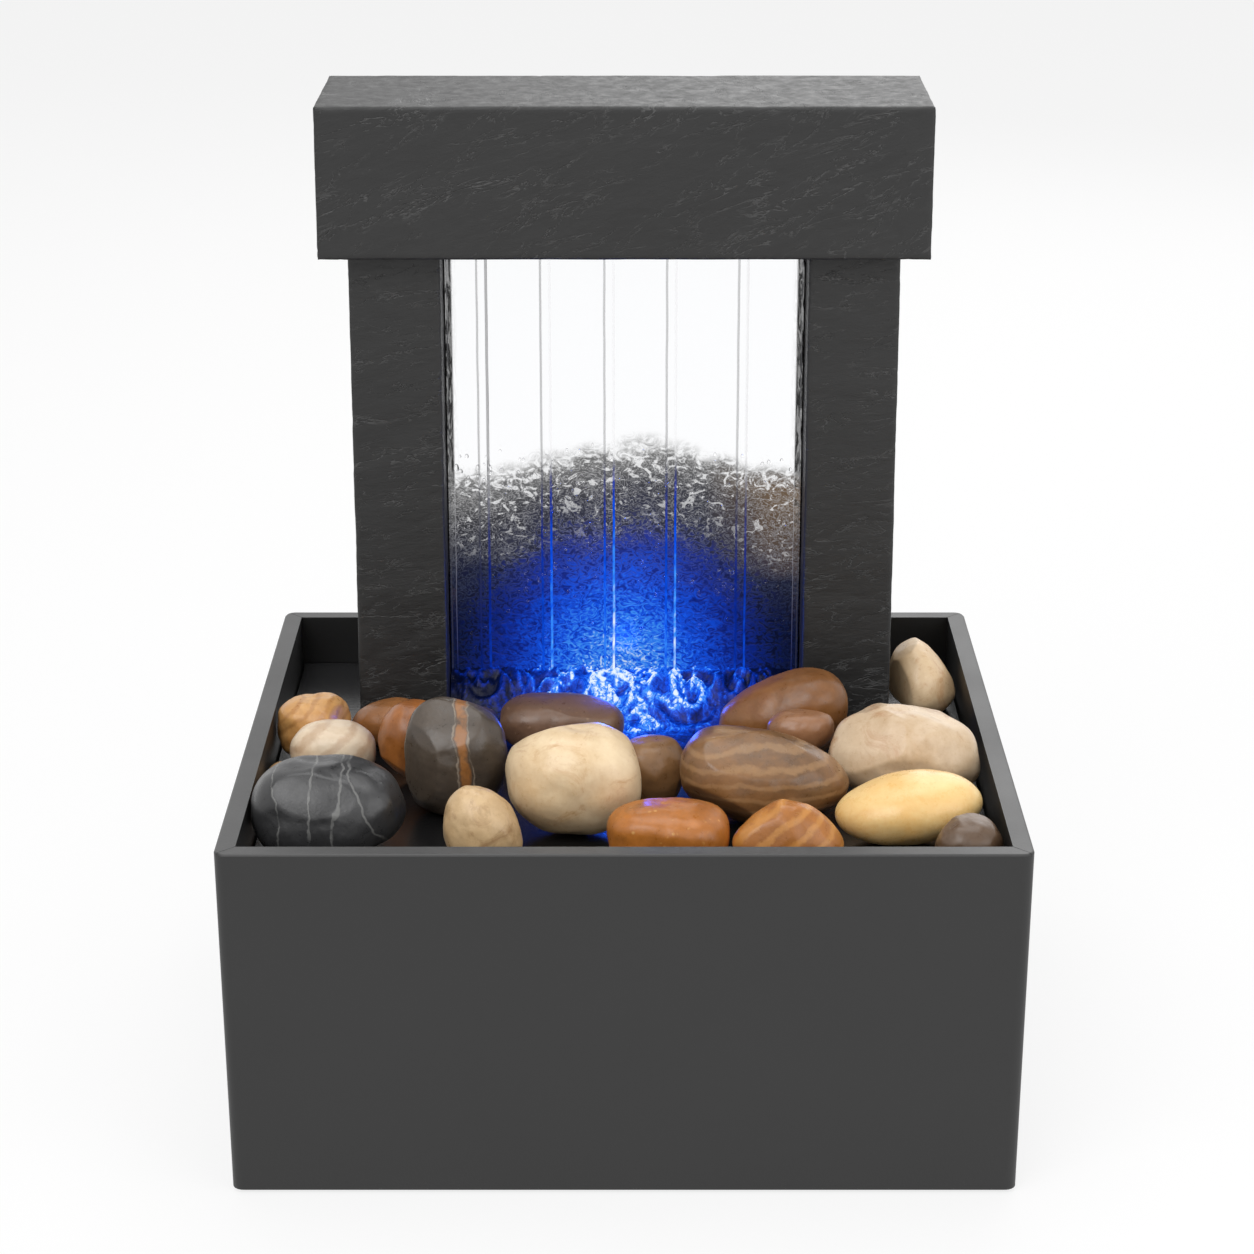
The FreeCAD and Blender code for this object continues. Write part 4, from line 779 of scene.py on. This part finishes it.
def glint():
    """A line of light on clear plastic: grey above, and lit blue where its glow attribute says."""
    made, tree, shader = material("rib_glint")
    level = attribute(tree, "glow")
    side = attribute(tree, "tone")
    grey = ramp(tree, side, [(0.0, rgb(96, 96, 100)), (1.0, rgb(244, 244, 246))])
    flicker = grain(tree, spot(tree), 300, 3)
    lit_level = maths(tree, "MULTIPLY", level, ramp(tree, flicker, [(0.3, 0.85), (0.7, 1.2)]))
    colour = blend_colours(tree, scaled(tree, level, 0.02, 0.25), grey, blues(tree, lit_level))
    glowing = add(tree, "Emission", {"Color": colour, "Strength": 1.0})
    clear_part = add(tree, "BsdfTransparent")
    cover = maths(tree, "MAXIMUM", scaled(tree, level, 0.0, 0.5), 0.42)
    through(tree, cover, clear_part.outputs[0], glowing.outputs[0])
    tree.nodes.remove(shader)
    return made


def rib_glints():
    """Bright lines down the flanks of the ribs and the panel's edges, lit blue from below."""
    front = panel_front()
    z0, z1 = DECK_TOP + HEAP_HEIGHT * 0.8, LINTEL_BOTTOM + 4 * MM
    left, right = opening(0.0)
    strips = [
        (min(a[0], b[0]), max(a[0], b[0]), a[1], b[1])
        for a, b in zip(front, front[1:]) if abs(a[1] - b[1]) > 0.1 * MM]
    flat = front[0][1]
    for side, start in ((1, left), (-1, right)):
        for near_end, far_end in ((0.5 * MM, 0.9 * MM), (1.9 * MM, 2.2 * MM)):
            ends = sorted((start + side * near_end, start + side * far_end))
            strips.append((ends[0], ends[1], flat, flat))
    steps = 60
    narrow, stand_off = 0.04 * MM, 0.55 * MM
    verts, faces, tone, glow = [], [], [], []
    for number, (xa, xb, ya, yb) in enumerate(strips):
        first = len(verts)
        strength = 1.0 if number % 2 else 0.72
        for k in range(steps + 1):
            z = z0 + (z1 - z0) * k / steps
            sway = noise.noise(Vector((number * 3.7, z * 90, 0))) * 0.10 * MM
            for x, y in ((xa + narrow, ya), (xb - narrow, yb)):
                verts.append((x + sway, y - stand_off, z))
                tone.append(1.0 if number % 2 else 0.0)
                reach = math.exp(-((xa + xb) / 2 / (40 * MM)) ** 2)
                drop = max(0.0, 1 - (z - z0) / (66 * MM))
                glow.append(strength * reach * drop ** 0.45)
            if k:
                a = first + 2 * k
                faces.append((a - 2, a - 1, a + 1, a))
    made = glint()
    piece = new_piece("rib_glints", verts, faces, made)
    store(piece, glow=glow, tone=tone)


def droplets():
    """Drops that cling to the panel, thickest where the sheet of water breaks up."""
    front = panel_front()
    xs, ys = [p[0] for p in front], [p[1] for p in front]
    x0, x1 = opening(2 * MM)
    middle = (DECK_TOP + LINTEL_BOTTOM) / 2 + 8 * MM
    stand_off, tries = 0.42 * MM, 420
    rng = np.random.RandomState(21)
    bm = bmesh.new()
    for _ in range(tries):
        x = rng.uniform(x0, x1)
        z = middle - abs(rng.normal(0, 22)) * MM + rng.normal(0, 2) * MM
        if not DECK_TOP + 20 * MM < z < LINTEL_BOTTOM - 4 * MM:
            continue
        size = rng.uniform(0.28, 0.75) * MM
        tall = rng.uniform(0.8, 1.7)
        made = bmesh.ops.create_icosphere(bm, subdivisions=2, radius=1.0)["verts"]
        y = float(np.interp(x, xs, ys)) - stand_off
        for vert in made:
            spread = 1 - 0.25 * vert.co.z
            vert.co = Vector((
                x + vert.co.x * size * spread, y + vert.co.y * size * 0.45, z + vert.co.z * size * tall))
    from_bmesh("panel_droplets", bm, clear("drop_water", ior=WATER_IOR))


# ---------------------------------------------------------------- the kept CAD pieces

def kept_pieces():
    """Finishes for the CAD pieces whose shape is shown as it is."""
    finishes = {
        "basin": basin_resin(),
        "stone_deck": moulded("deck_resin", rgb(26, 26, 27), roughness=0.22, relief=0.05),
        "waterfall_panel": clear("panel_acrylic"),
        "panel_edge_seals": clear("seal_vinyl", ior=1.45, roughness=0.05),
        "supply_tube": clear("tube_vinyl", ior=1.45, roughness=0.08),
    }
    plain = {
        ("distribution_trough",): moulded("trough_resin", rgb(38, 38, 40)),
        ("rubber_feet", "suction_cups", "tube_grommet", "cable_gland", "led_gasket",
         "shaft_bushes"): moulded("black_rubber", rgb(30, 30, 31), 0.7, relief=0.05),
        ("header_pads", "filter_sponge"): moulded(
            "foam", rgb(58, 58, 62), 0.95, mottle=0.5, texture=700, relief=0.6),
        ("pump_housing", "volute_plate", "intake_cover", "outlet_adapter", "led_housing"):
            moulded("pump_plastic", rgb(28, 28, 30), 0.38, relief=0.03),
        ("flow_dial",): moulded("dial_plastic", rgb(120, 122, 125), 0.4),
        ("impeller", "led_spacer"): moulded("white_plastic", rgb(220, 220, 216), 0.4),
        ("rotor_magnet",): moulded("ferrite", rgb(52, 50, 50), 0.5),
        ("rotor_shaft",): moulded("ceramic", rgb(232, 230, 222), 0.2),
        ("led_board",): moulded("solder_mask", rgb(24, 92, 58), 0.3),
        ("pump_lead", "led_lead", "lead_splice"): moulded("lead_pvc", rgb(24, 24, 25), 0.5),
        ("trough_screws", "led_screws"): steel(),
    }
    for names, made in plain.items():
        for node in names:
            finishes[node] = made
    finishes["led_chips"] = lit("led_phosphor", rgb(90, 150, 255), 3.0)
    finishes["led_lens"] = lit("led_window", rgb(30, 80, 255), 1.5)
    for node, made in finishes.items():
        assign(NODES[node], made)


def steel():
    """Stainless steel with fine brush marks along X."""
    made, tree, shader = material("stainless")
    shader.inputs["Metallic"].default_value = 1.0
    scratch = grain(tree, spot(tree, stretch=(12, 1, 1)), 700, 3)
    tree.links.new(
        ramp(tree, scratch, [(0.3, rgb(150, 150, 150)), (0.7, rgb(205, 205, 205))]),
        shader.inputs["Base Color"])
    tree.links.new(ramp(tree, scratch, [(0.3, 0.2), (0.7, 0.4)]), shader.inputs["Roughness"])
    return made


def lit(name, colour, strength):
    """A surface that glows, with a faint fall-off in its texture."""
    made, tree, shader = material(name)
    cells = grain(tree, spot(tree), 600, 2)
    dark = tuple(c * 0.6 for c in colour[:3]) + (1,)
    tree.links.new(ramp(tree, cells, [(0.3, dark), (0.7, colour)]), shader.inputs["Emission Color"])
    shader.inputs["Emission Strength"].default_value = strength
    shader.inputs["Base Color"].default_value = colour
    return made


# ---------------------------------------------------------------- stage, light and camera

def looked_at(tree):
    """1 for a ray that the camera, a gloss or a clear piece sees by, and 0 for a ray that lights."""
    path = add(tree, "LightPath").outputs
    beyond = maths(tree, "MAXIMUM", path["Is Glossy Ray"], path["Is Transmission Ray"])
    return maths(tree, "MAXIMUM", path["Is Camera Ray"], beyond)


def stage():
    """A pale floor that keeps the shadow, a white surround, soft lamps and a small blue lamp."""
    half_side = 6.0
    made, tree, shader = material("floor_white")
    shader.inputs["Base Color"].default_value = (0.86, 0.86, 0.86, 1)
    shader.inputs["Roughness"].default_value = 0.9
    seen = looked_at(tree)
    white = add(tree, "Emission", {"Color": (1, 1, 1, 1), "Strength": 1.0})
    whiteness = 0.8
    through(tree, maths(tree, "MULTIPLY", seen, whiteness), shader.outputs["BSDF"], white.outputs[0])
    mesh = bpy.data.meshes.new("floor")
    corners = [(x * half_side, y * half_side, 0) for x, y in ((-1, -1), (1, -1), (1, 1), (-1, 1))]
    mesh.from_pydata(corners, [], [(0, 1, 2, 3)])
    floor = bpy.data.objects.new("floor", mesh)
    bpy.context.scene.collection.objects.link(floor)
    assign(floor, made)

    world = bpy.data.worlds.new("studio")
    bpy.context.scene.world = world
    world.use_nodes = True
    tree = world.node_tree
    tree.nodes.clear()
    seen = looked_at(tree)
    soft = add(tree, "Background", {"Color": (1, 1, 1, 1), "Strength": 0.45})
    shown = add(tree, "Background", {"Color": (1, 1, 1, 1), "Strength": 1.0})
    mix = add(tree, "MixShader", {0: seen, 1: soft.outputs[0], 2: shown.outputs[0]})
    add(tree, "OutputWorld", {"Surface": mix.outputs[0]})

    # Each lamp's place and side in metres, and its power in watts.
    lamp("key", (-0.5, -0.9, 1.1), 0.9, 9)
    lamp("fill", (0.8, -0.7, 0.6), 0.9, 4)
    lamp("top", (0.0, 0.2, 1.3), 0.9, 6)
    lamp("rear", (0.3, 1.0, 0.7), 0.8, 3)
    under_light()


def under_light():
    """A small blue lamp above the lens. Most of the blue is emission in the water's materials."""
    rise = 22 * MM
    data = bpy.data.lights.new("under_light", "POINT")
    data.color = rgb(30, 90, 255)[:3]
    data.energy = 0.05
    data.shadow_soft_size = 6 * MM
    data.specular_factor = 0.3
    glow = bpy.data.objects.new("under_light", data)
    lens_low, lens_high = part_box("led_lens")
    glow.location = ((lens_low.x + lens_high.x) / 2, lens_high.y, lens_high.z + rise)
    bpy.context.scene.collection.objects.link(glow)


def lamp(name, where, size, power):
    """A soft square lamp aimed at the fountain's middle."""
    data = bpy.data.lights.new(name, "AREA")
    data.size = size
    data.energy = power
    obj = bpy.data.objects.new(name, data)
    obj.location = where
    aim = Vector((0, 0, 0.1)) - Vector(where)
    obj.rotation_mode = "QUATERNION"
    obj.rotation_quaternion = aim.to_track_quat("-Z", "Y")
    bpy.context.scene.collection.objects.link(obj)


def camera():
    """A long lens that looks down at the front of the fountain."""
    tilt = 18.95
    data = bpy.data.cameras.new("camera")
    data.sensor_width = 36
    data.lens = 94.74
    data.clip_start = 0.01
    obj = bpy.data.objects.new("camera", data)
    obj.location = (0.7 * MM, -831.9 * MM, 405.5 * MM)
    obj.rotation_euler = (math.radians(90 - tilt), 0, 0)
    bpy.context.scene.collection.objects.link(obj)
    bpy.context.scene.camera = obj


kept_pieces()
tower()
stones()
pool()
film()
rib_glints()
droplets()
stage()
camera()
bpy.context.scene.view_settings.view_transform = "Standard"
